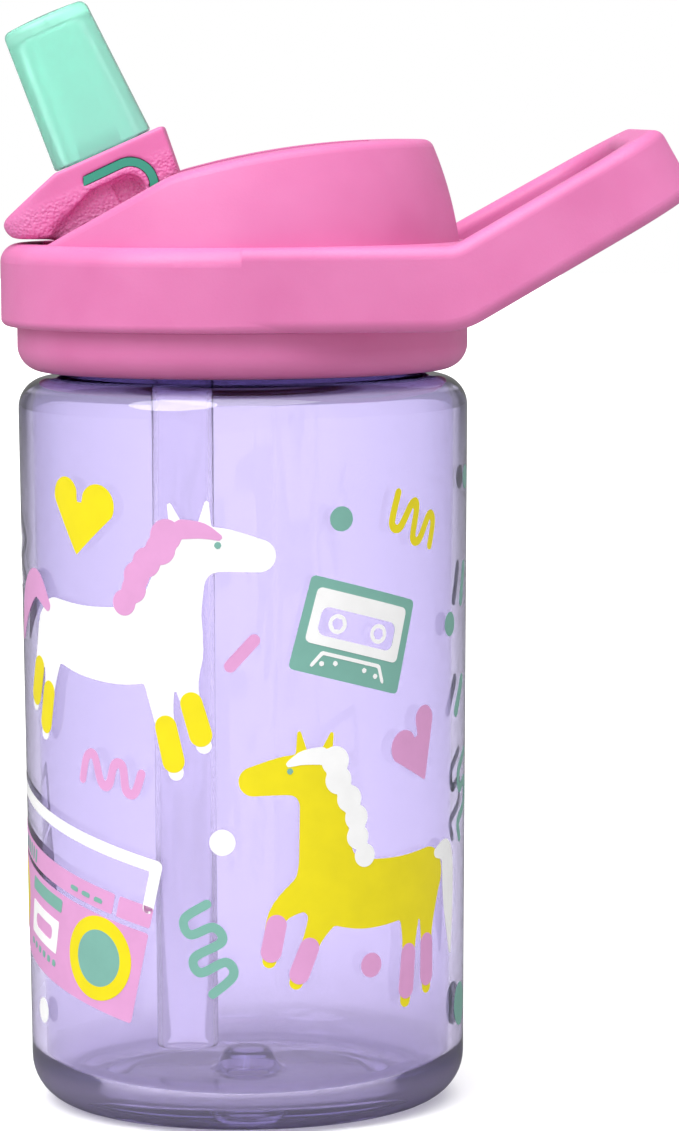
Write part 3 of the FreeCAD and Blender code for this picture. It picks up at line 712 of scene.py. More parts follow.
@dataclass
class Bottle:
    """Blow-moulded bottle: tapering wall, push-up base with its gate boss, and threaded neck."""

    base_radius: float = 35.8
    body_radius: float = 37.0
    shoulder_height: float = 120.1
    base_corner: float = 7.7
    shoulder_corner: float = 5.0
    wall: float = 2.3
    shoulder_wall: float = 1.3
    floor: float = 4.6
    push_up: float = 1.8
    push_up_radius: float = 20.0
    foot_radius: float = 23.5
    boss_radius: float = 5.6
    boss_rise: float = 3.6
    boss_draw: float = 1.9
    boss_thin: float = 0.6
    boss_hollow: Point = (1.2, 2.6)
    neck_radius: float = 30.0
    neck_bore: float = 27.7
    neck_top: float = 133.0
    thread_start: float = 125.2
    thread_lead: float = 5.0
    thread_depth: float = 1.6
    thread_root_half: float = 1.2
    thread_crest_half: float = 0.6
    thread_fade: float = 0.35
    neck_cell: float = 0.35
    segments: int = 256
    base_haze_heights: Point = (4.0, 12.0)
    # Heights over which the painted rim shade fades in above the foot.
    rim_shade_heights: Point = (4.5, 13.5)
    # Where the painted shade under the cap starts below the shoulder, and how fast it comes in.
    under_cap_shade_drop: float = 2.2
    under_cap_shade_run: float = 1.2

    def profile(self) -> list[Point]:
        """The half section, from the underside's middle round to the floor's middle."""
        inner_shoulder = self.shoulder_height - self.shoulder_wall
        corners = [
            (0.0, self.push_up + self.boss_rise - self.boss_thin, 0.0),
            (self.boss_radius - self.boss_hollow[1],
             self.push_up + self.boss_rise - self.boss_thin, 1.4),
            (self.boss_radius - self.boss_hollow[0], self.push_up, 1.2),
            (self.push_up_radius, self.push_up, 3.0),
            (self.foot_radius, 0.0, 2.0),
            (self.base_radius, 0.0, self.base_corner),
            (self.body_radius, self.shoulder_height, self.shoulder_corner),
            (self.neck_radius, self.shoulder_height, 0.8),
            (self.neck_radius, self.neck_top, 0.5),
            (self.neck_bore, self.neck_top, 0.5),
            (self.neck_bore, inner_shoulder, 1.2),
            (self.body_radius - self.wall, inner_shoulder, self.shoulder_corner - self.wall / 2),
            (self.base_radius - self.wall, self.floor, self.base_corner - self.wall),
            (self.boss_radius, self.floor, 1.6),
            (self.boss_radius - self.boss_draw, self.floor + self.boss_rise, 1.8),
            (0.0, self.floor + self.boss_rise, 0.0),
        ]
        points = rounded_profile(corners)
        return divided(points, self.neck_cell, self.shoulder_height + 1.5, self.neck_top - 0.5)

    def is_outside(self, radius: float, height: float) -> bool:
        """Tell whether a point is on the body's outside wall, from the foot to the shoulder.

        Args:
            radius: The point's distance from the axis, in millimetres.
            height: Its height.

        Returns:
            True on the outside wall.
        """
        middle = self.base_radius + (self.body_radius - self.base_radius) * height / self.shoulder_height
        if height < self.base_corner:
            corner = Vector((self.base_radius - self.base_corner, self.base_corner))
            reach = (Vector((radius, height)) - corner).length
            return reach > self.base_corner - self.wall / 2 and radius > corner.x
        return radius > middle - self.wall / 2 and height < self.shoulder_height - 1

    def threaded(self, angle: Field, radius: Field, height: Field) -> tuple[Field, Field]:
        """Raise the helical ridge on the outside of the neck.

        Args:
            angle: Angle of each point about the axis.
            radius: Its radius.
            height: Its height.

        Returns:
            The new radius and height.
        """
        flank = self.thread_root_half - self.thread_crest_half
        outside = np.abs(radius - self.neck_radius) < 0.05
        middle = self.thread_start + self.thread_lead * angle / (2 * math.pi)
        rise = np.clip((self.thread_root_half - np.abs(height - middle)) / flank, 0, 1)
        ends = smoothstep(angle / self.thread_fade)
        ends *= smoothstep((2 * math.pi - angle) / self.thread_fade)
        return radius + outside * rise * ends * self.thread_depth, height

    def mark(self, mesh: bpy.types.Mesh) -> None:
        """Write where the wall's tints and its painted shade hold, for the finish to read.

        Args:
            mesh: The bottle's mesh.
        """
        places = np.empty(len(mesh.vertices) * 3)
        mesh.vertices.foreach_get("co", places)
        places = places.reshape(-1, 3) / MM
        radius, height = np.hypot(places[:, 0], places[:, 1]), places[:, 2]
        outside = np.array([self.is_outside(*point) for point in zip(radius, height)])
        low, top = self.base_haze_heights
        foot, full = self.rim_shade_heights
        shoulder = height - self.shoulder_height + self.under_cap_shade_drop
        layers = {
            # Painted rim shade, on the outer wall, faded in above the foot.
            "outside": outside * smoothstep((height - foot) / (full - foot)),
            "wall": smoothstep((height - low) / (top - low)),
            # Painted shade under the cap, over the shoulder's top and the neck.
            "shoulder": smoothstep(shoulder / self.under_cap_shade_run),
        }
        for name, values in layers.items():
            mesh.attributes.new(name, "FLOAT", "POINT").data.foreach_set("value", values)

    def build(self) -> bpy.types.Object:
        """Make the bottle and let it stand for its CAD node."""
        mesh = turned_mesh("bottle_blown", self.profile(), self.segments, push=self.threaded)
        self.mark(mesh)
        obj = new_object("bottle_blown", mesh, TintedCopolyester("copolyester_blown_lilac").material())
        crease_sharp(mesh, degrees=60)
        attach(obj, "bottle")
        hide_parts("bottle_body")
        return obj


@dataclass
class Straw:
    """Extruded straw, open at both ends, that hangs from the elbow under the cap."""

    centre_x: float = -10.0
    radius: float = 5.1
    wall: float = 0.9
    foot: float = 8.6
    top: float = 131.8
    lip: float = 0.35
    segments: int = 96

    def build(self) -> bpy.types.Object:
        """Make the straw and let it stand for its CAD node."""
        bore, middle = self.radius - self.wall, (self.foot + self.top) / 2
        looped = [
            (bore, middle, 0.0),
            (bore, self.foot, self.lip), (self.radius, self.foot, self.lip),
            (self.radius, self.top, self.lip), (bore, self.top, self.lip),
            (bore, middle + 0.01, 0.0),
        ]
        mesh = turned_mesh(
            "straw_tube", rounded_profile(looped, 30), self.segments, (self.centre_x, 0.0), closed=True
        )
        finish = ExtrudedPolypropyleneTube("polypropylene_drawn_clear")
        obj = new_object("straw_tube", mesh, finish.material())
        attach(obj, "cap")
        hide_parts("straw")
        return obj


# -------------------------------------------------------------------------------- mouthpiece
@dataclass
class BiteValve:
    """Soft mouthpiece: a tapering hollow tube with a slit lip and a plug that sits in the stem."""

    pivot: Point3 = (-17.8, 0.0, 146.0)
    tilt: float = 23.5
    base: Point = (8.4, 9.9)
    corner: float = 5.6
    start: float = 11.96
    reach: float = 36.0
    taper: float = 3.0
    tip_round: float = 1.2
    wall: float = 2.2
    lip: float = 2.4
    plug: Point = (6.4, 8.2)
    plug_wall: float = 1.5
    plug_foot: float = 7.0
    plug_corner: float = 3.9
    throat_corner: float = 2.4
    ease: float = 0.3
    crown: float = 0.25
    roof_round: float = 1.3
    slit: Point = (0.15, 4.5)
    slit_corner: float = 0.15

    def ring(self, half: Point, corner: float, along: float) -> list[Vector]:
        """One ring of the loft, with the same number of points in each.

        Args:
            half: Half width in the tilting plane and half width across it.
            corner: Corner radius.
            along: Distance from the pivot along the spout's axis.

        Returns:
            Points in metres, in the row frame.
        """
        corner = min(corner, half[0], half[1])
        plan: list[Point] = []
        for quarter, (sx, sy) in enumerate(((1, 1), (-1, 1), (-1, -1), (1, -1))):
            cx, cy = sx * (half[0] - corner), sy * (half[1] - corner)
            for i in range(16):
                turn = math.pi / 2 * (quarter + i / 15)
                plan.append((cx + corner * math.cos(turn), cy + corner * math.sin(turn)))
            nx, ny = ((-1, 1), (-1, -1), (1, -1), (1, 1))[quarter]
            ex, ey = nx * (half[0] - corner), ny * (half[1] - corner)
            tx, ty = plan[-1]
            turn = math.pi / 2 * (quarter + 1)
            gx, gy = ex + corner * math.cos(turn), ey + corner * math.sin(turn)
            plan += [(tx + (gx - tx) * k / 6, ty + (gy - ty) * k / 6) for k in range(1, 6)]
        tilt = math.radians(self.tilt)
        px, py, pz = self.pivot
        return [
            Vector((
                px + x * math.cos(tilt) - along * math.sin(tilt),
                py + y,
                pz + x * math.sin(tilt) + along * math.cos(tilt),
            )) * MM
            for x, y in plan
        ]

    def narrowed(self, half: Point, along: float, by: float = 0.0) -> Point:
        """Half widths at a distance along the taper.

        Args:
            half: Half widths at the foot of the taper.
            along: Distance from the pivot.
            by: What else comes off, such as a wall.

        Returns:
            Half width in the tilting plane and half width across it.
        """
        loss = (along - self.start) * math.tan(math.radians(self.taper)) + by
        return half[0] - loss, half[1] - loss

    def sections(self) -> list[tuple[Point, float, float]]:
        """Half widths, corner and distance of every ring, as one closed tour of the wall."""
        tour = [
            (self.plug, self.plug_corner, self.plug_foot + self.ease),
            (self.plug, self.plug_corner, self.start - 0.02),
            (self.narrowed(self.base, self.start, self.ease), self.corner, self.start),
            (self.base, self.corner, self.start + self.ease),
        ]
        shoulder = self.reach - self.crown - self.tip_round
        for i in range(1, 9):
            along = self.start + self.ease + (shoulder - self.start - self.ease) * i / 8
            tour.append((self.narrowed(self.base, along), self.corner - 0.1 * i, along))
        for i in range(1, 8):
            turn = math.pi / 2 * i / 7
            along = shoulder + self.tip_round * math.sin(turn)
            inset = self.tip_round * (1 - math.cos(turn))
            tour.append((self.narrowed(self.base, shoulder, inset), self.corner - 0.8 - inset / 2, along))
        rim, _, top = tour[-1]
        for share in (0.25, 0.5, 0.75, 0.93):
            half = tuple(r + (s - r) * share for r, s in zip(rim, self.slit))
            tour.append((half, 4.0 * (1 - share), top + self.crown * math.sin(share * math.pi / 2)))
        tour.append((self.slit, self.slit_corner, self.reach))
        roof = self.reach - self.lip
        tour.append((self.slit, self.slit_corner, roof))
        hollow = self.narrowed(self.base, roof, self.wall)
        for share in (0.07, 0.4, 0.75):
            half = tuple(s + (h - s) * share for h, s in zip(hollow, self.slit))
            tour.append((half, 3.0 * share, roof))
        for i in range(5):
            turn = math.pi / 2 * i / 4
            inset = self.roof_round * (1 - math.sin(turn))
            half = (hollow[0] - inset, hollow[1] - inset)
            drop = self.roof_round * (1 - math.cos(turn))
            tour.append((half, self.corner - self.wall, roof - drop))
        for i in range(1, 9):
            along = roof - self.roof_round + (self.start - 0.4 - roof + self.roof_round) * i / 8
            tour.append((self.narrowed(self.base, along, self.wall), self.corner - self.wall, along))
        throat = (self.plug[0] - self.plug_wall, self.plug[1] - self.plug_wall)
        flared = (throat[0] + self.ease, throat[1] + self.ease)
        eased = (self.plug[0] - self.ease, self.plug[1] - self.ease)
        tour.append((throat, self.throat_corner, self.start - 0.42))
        tour.append((throat, self.throat_corner, self.plug_foot + self.ease))
        tour.append((flared, self.throat_corner + 0.2, self.plug_foot))
        tour.append((eased, self.plug_corner - 0.2, self.plug_foot))
        return tour

    def build(self) -> bpy.types.Object:
        """Make the mouthpiece and let it stand for its CAD node."""
        rings = [self.ring(*section) for section in self.sections()]
        count = len(rings[0])
        points = [tuple(p) for ring in rings for p in ring]
        faces = []
        for row in range(len(rings)):
            low, high = row * count, (row + 1) % len(rings) * count
            for i in range(count):
                j = (i + 1) % count
                faces.append((low + i, low + j, high + j, high + i))
        mesh = bpy.data.meshes.new("bite_valve_moulded")
        mesh.from_pydata(points, [], faces)
        finish = TranslucentSilicone("silicone_moulded_mint")
        obj = new_object("bite_valve_moulded", mesh, finish.material())
        crease_sharp(mesh, degrees=50)
        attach(obj, "spout")
        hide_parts("bite_valve")
        return obj


@dataclass
class ThumbStem:
    """Spout stem: its moulded edges softened, most on the thumb tab, and pebbled for grip."""

    voxel_mm: float = 0.24
    passes: int = 4
    tab_passes: int = 70
    pebble_mm: float = 0.6
    pebble_depth_mm: float = 0.06
    pebble_rim: float = 0.35
    pivot: Point3 = (-17.8, 0.0, 146.0)
    tilt: float = 23.5

    def tab_share(self, points: Field) -> Field:
        """How far each point belongs to the thumb tab, from 0 to 1.

        Args:
            points: Points in millimetres.

        Returns:
            One share per point.
        """
        turn = math.radians(self.tilt)
        x, z = points[:, 0] - self.pivot[0], points[:, 2] - self.pivot[2]
        across, along = x * math.cos(turn) + z * math.sin(turn), z * math.cos(turn) - x * math.sin(turn)
        left = smoothstep((-across - 6.5) / 4.5) * smoothstep((10.6 - along) / 2.0)
        return left * smoothstep((np.abs(points[:, 1]) + 12.5 + across * 0.2) / 3.0)

    def softened(self, mesh: bpy.types.Mesh) -> None:
        """Relax the mesh, so that its edges round over.

        Args:
            mesh: The mesh to change.
        """
        count = len(mesh.vertices)
        flat = np.empty(count * 3)
        mesh.vertices.foreach_get("co", flat)
        points = flat.reshape(-1, 3) / MM
        ends = np.empty(len(mesh.edges) * 2, dtype=np.int64)
        mesh.edges.foreach_get("vertices", ends)
        first, second = ends[0::2], ends[1::2]
        valence = np.bincount(ends, minlength=count)[:, None]
        share = self.tab_share(points)[:, None]
        for step in range(self.tab_passes):
            weight = 0.5 * (share if step >= self.passes else np.ones_like(share))
            total = np.zeros_like(points)
            np.add.at(total, first, points[second])
            np.add.at(total, second, points[first])
            points += (total / valence - points) * weight
        mesh.vertices.foreach_set("co", (points * MM).ravel())
        mesh.update()
        normals = np.empty(count * 3)
        mesh.vertices.foreach_get("normal", normals)
        lift = np.array([
            noise.voronoi(Vector(point) / self.pebble_mm)[0][0] for point in points
        ])
        rise = (self.pebble_rim - lift)[:, None] * share * self.pebble_depth_mm
        points += normals.reshape(-1, 3) * np.clip(rise, -self.pebble_depth_mm, 0.0)
        mesh.vertices.foreach_set("co", (points * MM).ravel())
        mesh.update()

    def build(self) -> bpy.types.Object:
        """Make the softened stem and let it stand for its CAD node."""
        finish = PebbledPolypropylene("polypropylene_pebbled_pink")
        rough = new_object("stem_rough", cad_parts["spout_stem"].data.copy(), finish.material())
        skin = rough.modifiers.new("skin", "REMESH")
        skin.mode, skin.voxel_size = "VOXEL", self.voxel_mm * MM
        graph = bpy.context.evaluated_depsgraph_get()
        mesh = bpy.data.meshes.new_from_object(rough.evaluated_get(graph))
        bpy.data.objects.remove(rough)
        self.softened(mesh)
        obj = new_object("spout_stem_moulded", mesh, finish.material())
        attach(obj, "spout")
        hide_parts("spout_stem")
        return obj


# ------------------------------------------------------------------------- flat shapes of ink
class Shape:
    """A flat shape on the unrolled wall; distance is negative inside it."""

    def distance(self, u: Field, v: Field) -> Field:
        """Signed distance of each point from the shape's edge, in millimetres."""
        raise NotImplementedError

    def __or__(self, other: "Shape") -> "Shape":
        """Both shapes together."""
        return Joined((self, other))

    def __sub__(self, other: "Shape") -> "Shape":
        """This shape with the other cut out of it."""
        return Cut(self, other)


@dataclass(frozen=True)
class Joined(Shape):
    """Several shapes together, with a soft fillet where they meet."""

    parts: tuple[Shape, ...]
    fillet: float = 0.0

    def distance(self, u: Field, v: Field) -> Field:
        """Least distance of the parts, eased over the fillet."""
        total = self.parts[0].distance(u, v)
        for part in self.parts[1:]:
            other = part.distance(u, v)
            if self.fillet > 0:
                share = np.clip(0.5 + 0.5 * (other - total) / self.fillet, 0, 1)
                total = other * (1 - share) + total * share - self.fillet * share * (1 - share)
            else:
                total = np.minimum(total, other)
        return total


@dataclass(frozen=True)
class Cut(Shape):
    """One shape with another cut out."""

    body: Shape
    hole: Shape

    def distance(self, u: Field, v: Field) -> Field:
        """Inside the body and outside the hole."""
        return np.maximum(self.body.distance(u, v), -self.hole.distance(u, v))


@dataclass(frozen=True)
class Disc(Shape):
    """A round dot."""

    centre: Point
    radius: float

    def distance(self, u: Field, v: Field) -> Field:
        """Distance from the dot's edge."""
        return np.hypot(u - self.centre[0], v - self.centre[1]) - self.radius


@dataclass(frozen=True)
class Panel(Shape):
    """A tilted rectangle with rounded corners."""

    centre: Point
    width: float
    height: float
    corner: float = 0.4
    tilt: float = 0.0

    def distance(self, u: Field, v: Field) -> Field:
        """Distance from the panel's edge."""
        turn = math.radians(self.tilt)
        du, dv = u - self.centre[0], v - self.centre[1]
        across = np.abs(du * math.cos(turn) + dv * math.sin(turn)) - self.width / 2 + self.corner
        up = np.abs(dv * math.cos(turn) - du * math.sin(turn)) - self.height / 2 + self.corner
        outside = np.hypot(np.maximum(across, 0), np.maximum(up, 0))
        return outside + np.minimum(np.maximum(across, up), 0) - self.corner


@dataclass(frozen=True)
class Stroke(Shape):
    """A brush stroke along a smooth line through its points, with a half width at each."""

    points: tuple[Point, ...]
    halves: tuple[float, ...]
    smooth: bool = True

    def line(self) -> list[tuple[float, float, float]]:
        """Points and half widths along the stroke."""
        if not self.smooth or len(self.points) < 3:
            return [(*p, h) for p, h in zip(self.points, self.halves)]
        given = [(*p, h) for p, h in zip(self.points, self.halves)]
        ends = [given[0], *given, given[-1]]
        made = []
        for a, b, c, d in zip(ends, ends[1:], ends[2:], ends[3:]):
            for step in range(6):
                t = step / 6
                made.append(tuple(
                    0.5 * (2 * q + (r - p) * t + (2 * p - 5 * q + 4 * r - s) * t * t
                           + (3 * q - p - 3 * r + s) * t ** 3)
                    for p, q, r, s in zip(a, b, c, d)
                ))
        return made + [given[-1]]

    def distance(self, u: Field, v: Field) -> Field:
        """Distance from the stroke's edge."""
        line = self.line()
        total = np.full(u.shape, 1e3)
        for (u0, v0, h0), (u1, v1, h1) in zip(line, line[1:]):
            du, dv = u1 - u0, v1 - v0
            squared = du * du + dv * dv or SHORTEST_SQUARED
            share = np.clip(((u - u0) * du + (v - v0) * dv) / squared, 0, 1)
            gap = np.hypot(u - u0 - share * du, v - v0 - share * dv) - (h0 + (h1 - h0) * share)
            total = np.minimum(total, gap)
        return total


def plain_stroke(points: Sequence[Point], width: float, smooth: bool = True) -> Stroke:
    """A stroke of even width."""
    return Stroke(tuple(points), (width / 2,) * len(points), smooth)


def heart(tip: Point, left: Point, right: Point, left_half: float, right_half: float) -> Shape:
    """A heart of two lobes that run together into a tip.

    Args:
        tip: The lowest point.
        left: Middle of the left lobe.
        right: Middle of the right lobe.
        left_half: Radius of the left lobe.
        right_half: Radius of the right lobe.

    Returns:
        The shape.
    """
    middle = (
        tip[0] * 0.35 + (left[0] + right[0]) * 0.325, tip[1] * 0.35 + (left[1] + right[1]) * 0.325
    )
    return Joined((
        Stroke((left, tip), (left_half, 0.25), False),
        Stroke((right, tip), (right_half, 0.25), False),
        Stroke((middle, tip), ((left_half + right_half) * 0.42, 0.25), False),
    ))


@dataclass
class Wall:
    """The bottle's outside, as the print wraps on it."""

    base_radius: float = 35.8
    body_radius: float = 37.0
    height: float = 120.1
    unroll_radius: float = 36.6
    cell: float = 0.4
    clearance: float = 0.02
    film: float = 0.04
    between_films: float = 0.01

    def point(self, u: float, v: float, lift: float) -> Point3:
        """Place a point of the unrolled wall on the bottle.

        Args:
            u: Distance round the wall from its front, in millimetres, to the right.
            v: Height.
            lift: Distance out from the wall.

        Returns:
            The point in metres.
        """
        radius = self.base_radius + (self.body_radius - self.base_radius) * v / self.height + lift
        turn = u / self.unroll_radius
        return radius * math.sin(turn) * MM, -radius * math.cos(turn) * MM, v * MM

    def outline_cells(
        self, shape: Shape, box: Box
    ) -> tuple[list[Point], list[tuple[int, ...]]]:
        """Cut a shape into small flat cells that can follow the wall.

        Args:
            shape: The shape.
            box: Lowest u and v, then highest u and v, that hold it.

        Returns:
            The flat points and the faces between them.
        """
        us = np.arange(box[0], box[2] + self.cell, self.cell)
        vs = np.arange(box[1], box[3] + self.cell, self.cell)
        depth = shape.distance(*np.meshgrid(us, vs, indexing="ij"))
        known: dict[tuple[int, int, int, int], int] = {}
        points: list[Point] = []

        def corner(a: tuple[int, int], b: tuple[int, int]) -> int:
            """Number of the point at a corner, or where the edge between two corners crosses."""
            key = (*a, *b) if a <= b else (*b, *a)
            if key not in known:
                share = 0.0 if a == b else depth[a] / (depth[a] - depth[b])
                known[key] = len(points)
                points.append((
                    float(us[a[0]] + (us[b[0]] - us[a[0]]) * share),
                    float(vs[a[1]] + (vs[b[1]] - vs[a[1]]) * share),
                ))
            return known[key]

        faces = []
        inside = depth < 0
        live = inside[:-1, :-1] | inside[1:, :-1] | inside[1:, 1:] | inside[:-1, 1:]
        for i, j in zip(*np.nonzero(live)):
            tour = [(i, j), (i + 1, j), (i + 1, j + 1), (i, j + 1)]
            face = []
            for a, b in zip(tour, tour[1:] + tour[:1]):
                if inside[a]:
                    face.append(corner(a, a))
                if inside[a] != inside[b]:
                    face.append(corner(a, b))
            if len(face) > 2:
                faces.append(tuple(face))
        return points, faces

    def print_film(
        self,
        name: str,
        shape: Shape,
        box: Box,
        pigment: Pigment,
        layer: int = 0,
    ) -> bpy.types.Object:
        """Lay one film of ink on the wall, as a thin closed skin.

        Args:
            name: The piece's name.
            shape: What is printed.
            box: Lowest u and v, then highest u and v, that hold it.
            pigment: Its ink.
            layer: How many films lie under it.

        Returns:
            The film.
        """
        flat, cells = self.outline_cells(shape, box)
        foot = self.clearance + layer * (self.film + self.between_films)
        outer = [self.point(u, v, foot + self.film) for u, v in flat]
        inner = [self.point(u, v, foot) for u, v in flat]
        count = len(flat)
        faces = list(cells) + [tuple(i + count for i in reversed(face)) for face in cells]
        edges: dict[tuple[int, int], None] = {}
        for face in cells:
            for a, b in zip(face, face[1:] + face[:1]):
                if (b, a) in edges:
                    del edges[b, a]
                else:
                    edges[a, b] = None
        faces += [(b, a, a + count, b + count) for a, b in edges]
        mesh = bpy.data.meshes.new(name)
        mesh.from_pydata(outer + inner, [], faces)
        obj = new_object(name, mesh, pigment.finish().material())
        crease_sharp(mesh, degrees=40)
        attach(obj, "bottle")
        return obj


class Facing(Enum):
    """Which way an animal of the print looks."""

    RIGHT = 1
    LEFT = -1


@dataclass
class Pony:
    """A plain pony in flat colours: coat, mane and tail, and socks."""

    name: str
    centre: Point
    size: float
    facing: Facing
    coat: Pigment
    mane: Pigment
    sock: Pigment
    legs: tuple[tuple[Point, Point, Point], ...]  # hip, knee and foot of each
    tail: tuple[Point, ...]
    lift: Point = (0.0, 0.0)

    def at(self, x: float, y: float, raised: float = 0.0) -> Point:
        """Place a point of the drawing on the wall.

        Args:
            x: Distance towards the nose from the middle of the body.
            y: Distance up from it.
            raised: How much of the head's lift the point takes.

        Returns:
            The point on the unrolled wall.
        """
        x, y = x + self.lift[0] * raised, y + self.lift[1] * raised
        return (
            self.centre[0] + self.facing.value * self.size * x,
            self.centre[1] + self.size * y,
        )

    def stroke(self, marks: Sequence[tuple[float, float, float]], raised: float = 0.0) -> Stroke:
        """A stroke through marks of x, y and half width."""
        points = tuple(self.at(x, y, raised) for x, y, _ in marks)
        return Stroke(points, tuple(half * self.size for *_, half in marks))

    def coat_shape(self) -> Shape:
        """Body, neck, head, ears and legs, run together."""
        body = self.stroke([(-12.3, 0.4, 4.6), (-5.0, -1.1, 5.4), (3.0, -1.4, 5.9), (9.6, -0.2, 5.6)])
        chest, crown = self.at(9.8, 1.6), self.at(12.6, 11.2, 1)
        neck = Stroke((chest, crown), (5.3 * self.size, 3.7 * self.size), False)
        head = self.stroke([(13.2, 13.4, 3.5), (18.5, 13.5, 3.3), (24.2, 12.6, 2.5)], 1)
        ears = (
            self.stroke([(12.2, 15.2, 1.5), (10.6, 20.2, 0.35)], 1),
            self.stroke([(15.8, 15.8, 1.3), (16.4, 20.6, 0.35)], 1),
        )
        limbs = tuple(
            self.stroke([(*root, 3.3), (*knee, 1.7), (*foot, 1.2)]) for root, knee, foot in self.legs
        )
        trunk = Joined((body, neck, head), 2.2 * self.size)
        return Joined((trunk, *limbs, *ears), 0.5 * self.size)

    def mane_shape(self) -> Shape:
        """Cloud-like mane down the neck, a forelock and the tail."""
        tufts = []
        for share in (0.0, 0.2, 0.4, 0.6, 0.8, 1.0):
            x, y = 10.0 - 7.4 * share + 0.6 * math.sin(9 * share), 15.6 - 10.4 * share
            tufts.append(Disc(self.at(x, y, 1 - share), (2.5 - 0.5 * share) * self.size))
        forelock = self.stroke([(12.6, 16.6, 1.5), (15.6, 16.4, 1.2), (18.2, 15.4, 0.5)], 1)
        tail = self.stroke([(x, y, h) for (x, y), h in zip(self.tail, (0.9, 2.2, 2.1, 0.4))])
        return Joined((*tufts, forelock, tail))

    def sock_shape(self) -> Shape:
        """A plain sock on each leg, short of the hoof."""
        socks = []
        for _, knee, foot in self.legs:
            high = tuple(k + (f - k) * 0.22 for k, f in zip(knee, foot))
            low = tuple(k + (f - k) * 0.80 for k, f in zip(knee, foot))
            socks.append(self.stroke([(*high, 1.75), (*low, 1.8)]))
        return Joined(tuple(socks))

    def build(self, wall: Wall) -> list[bpy.types.Object]:
        """Print the pony's films.

        Args:
            wall: The wall it is printed on.

        Returns:
            The films.
        """
        u, v = self.centre
        box = (u - 32 * self.size, v - 27 * self.size, u + 32 * self.size, v + 32 * self.size)
        eye = Disc(self.at(18.0, 14.2, 1), 0.55 * self.size)
        return [
            wall.print_film(f"print_{self.name}_coat", self.coat_shape(), box, self.coat),
            wall.print_film(f"print_{self.name}_mane", self.mane_shape(), box, self.mane, 1),
            wall.print_film(f"print_{self.name}_socks", self.sock_shape(), box, self.sock, 1),
            wall.print_film(f"print_{self.name}_eye", eye, box, Pigment.TEAL, 1),
        ]


@dataclass
class Tilted:
    """A drawing of the print that is tilted about its middle."""

    centre: Point
    tilt: float

    def at(self, x: float, y: float) -> Point:
        """Place a point of the drawing on the wall.

        Args:
            x: Distance to the right of the drawing's middle.
            y: Distance up from it.

        Returns:
            The point on the unrolled wall.
        """
        turn = math.radians(self.tilt)
        return (
            self.centre[0] + x * math.cos(turn) - y * math.sin(turn),
            self.centre[1] + x * math.sin(turn) + y * math.cos(turn),
        )

    def panel(self, x: float, y: float, width: float, height: float, corner: float = 0.2) -> Panel:
        """A panel that is tilted with the drawing.

        Args:
            x: Its middle, to the right of the drawing's.
            y: Its middle, up from the drawing's.
            width: Its width.
            height: Its height.
            corner: Its corner radius.

        Returns:
            The panel.
        """
        return Panel(self.at(x, y), width, height, corner, self.tilt)


@dataclass
class Tape(Tilted):
    """A plain music cassette, tilted."""

    centre: Point = (18.7, 80.3)
    tilt: float = -15.1
    width: float = 20.4
    height: float = 15.4
    reel_apart: float = 3.9
    reel_height: float = 1.0
    hub: float = 0.72

    def build(self, wall: Wall) -> list[bpy.types.Object]:
        """Print the cassette's films.

        Args:
            wall: The wall it is printed on.

        Returns:
            The films.
        """
        box = (self.centre[0] - 14, self.centre[1] - 14, self.centre[0] + 14, self.centre[1] + 14)
        window = self.panel(0, self.reel_height, 14.2, 4.6, 1.3)
        case = Panel(self.centre, self.width, self.height, 0.8, self.tilt) - window
        label = self.panel(0, 1.6, 17.4, 9.0, 0.9) - window
        reels: list[Shape] = []
        for x in (-self.reel_apart, self.reel_apart):
            spokes = [a * math.pi / 3 for a in range(6)]
            teeth = Joined(tuple(
                Disc(self.at(x + self.hub * math.cos(a), self.reel_height + self.hub * math.sin(a)), 0.33)
                for a in spokes
            ))
            middle = self.at(x, self.reel_height)
            reels.append(Disc(middle, 1.6) - (Disc(middle, 0.8) | teeth))
        bridge = plain_stroke(
            [self.at(-6.6, -6.3), self.at(-5.3, -4.0), self.at(5.3, -4.0), self.at(6.6, -6.3)], 0.6, False
        )
        places = ((-5.0, -5.7), (-2.7, -5.2), (2.7, -5.2), (5.0, -5.7))
        dots = tuple(Disc(self.at(*place), 0.45) for place in places)
        return [
            wall.print_film("print_tape_case", case, box, Pigment.TEAL),
            wall.print_film("print_tape_label", label, box, Pigment.WHITE, 1),
            wall.print_film("print_tape_reels", Joined(tuple(reels)), box, Pigment.WHITE),
            wall.print_film("print_tape_marks", Joined((bridge, *dots)), box, Pigment.WHITE, 1),
        ]


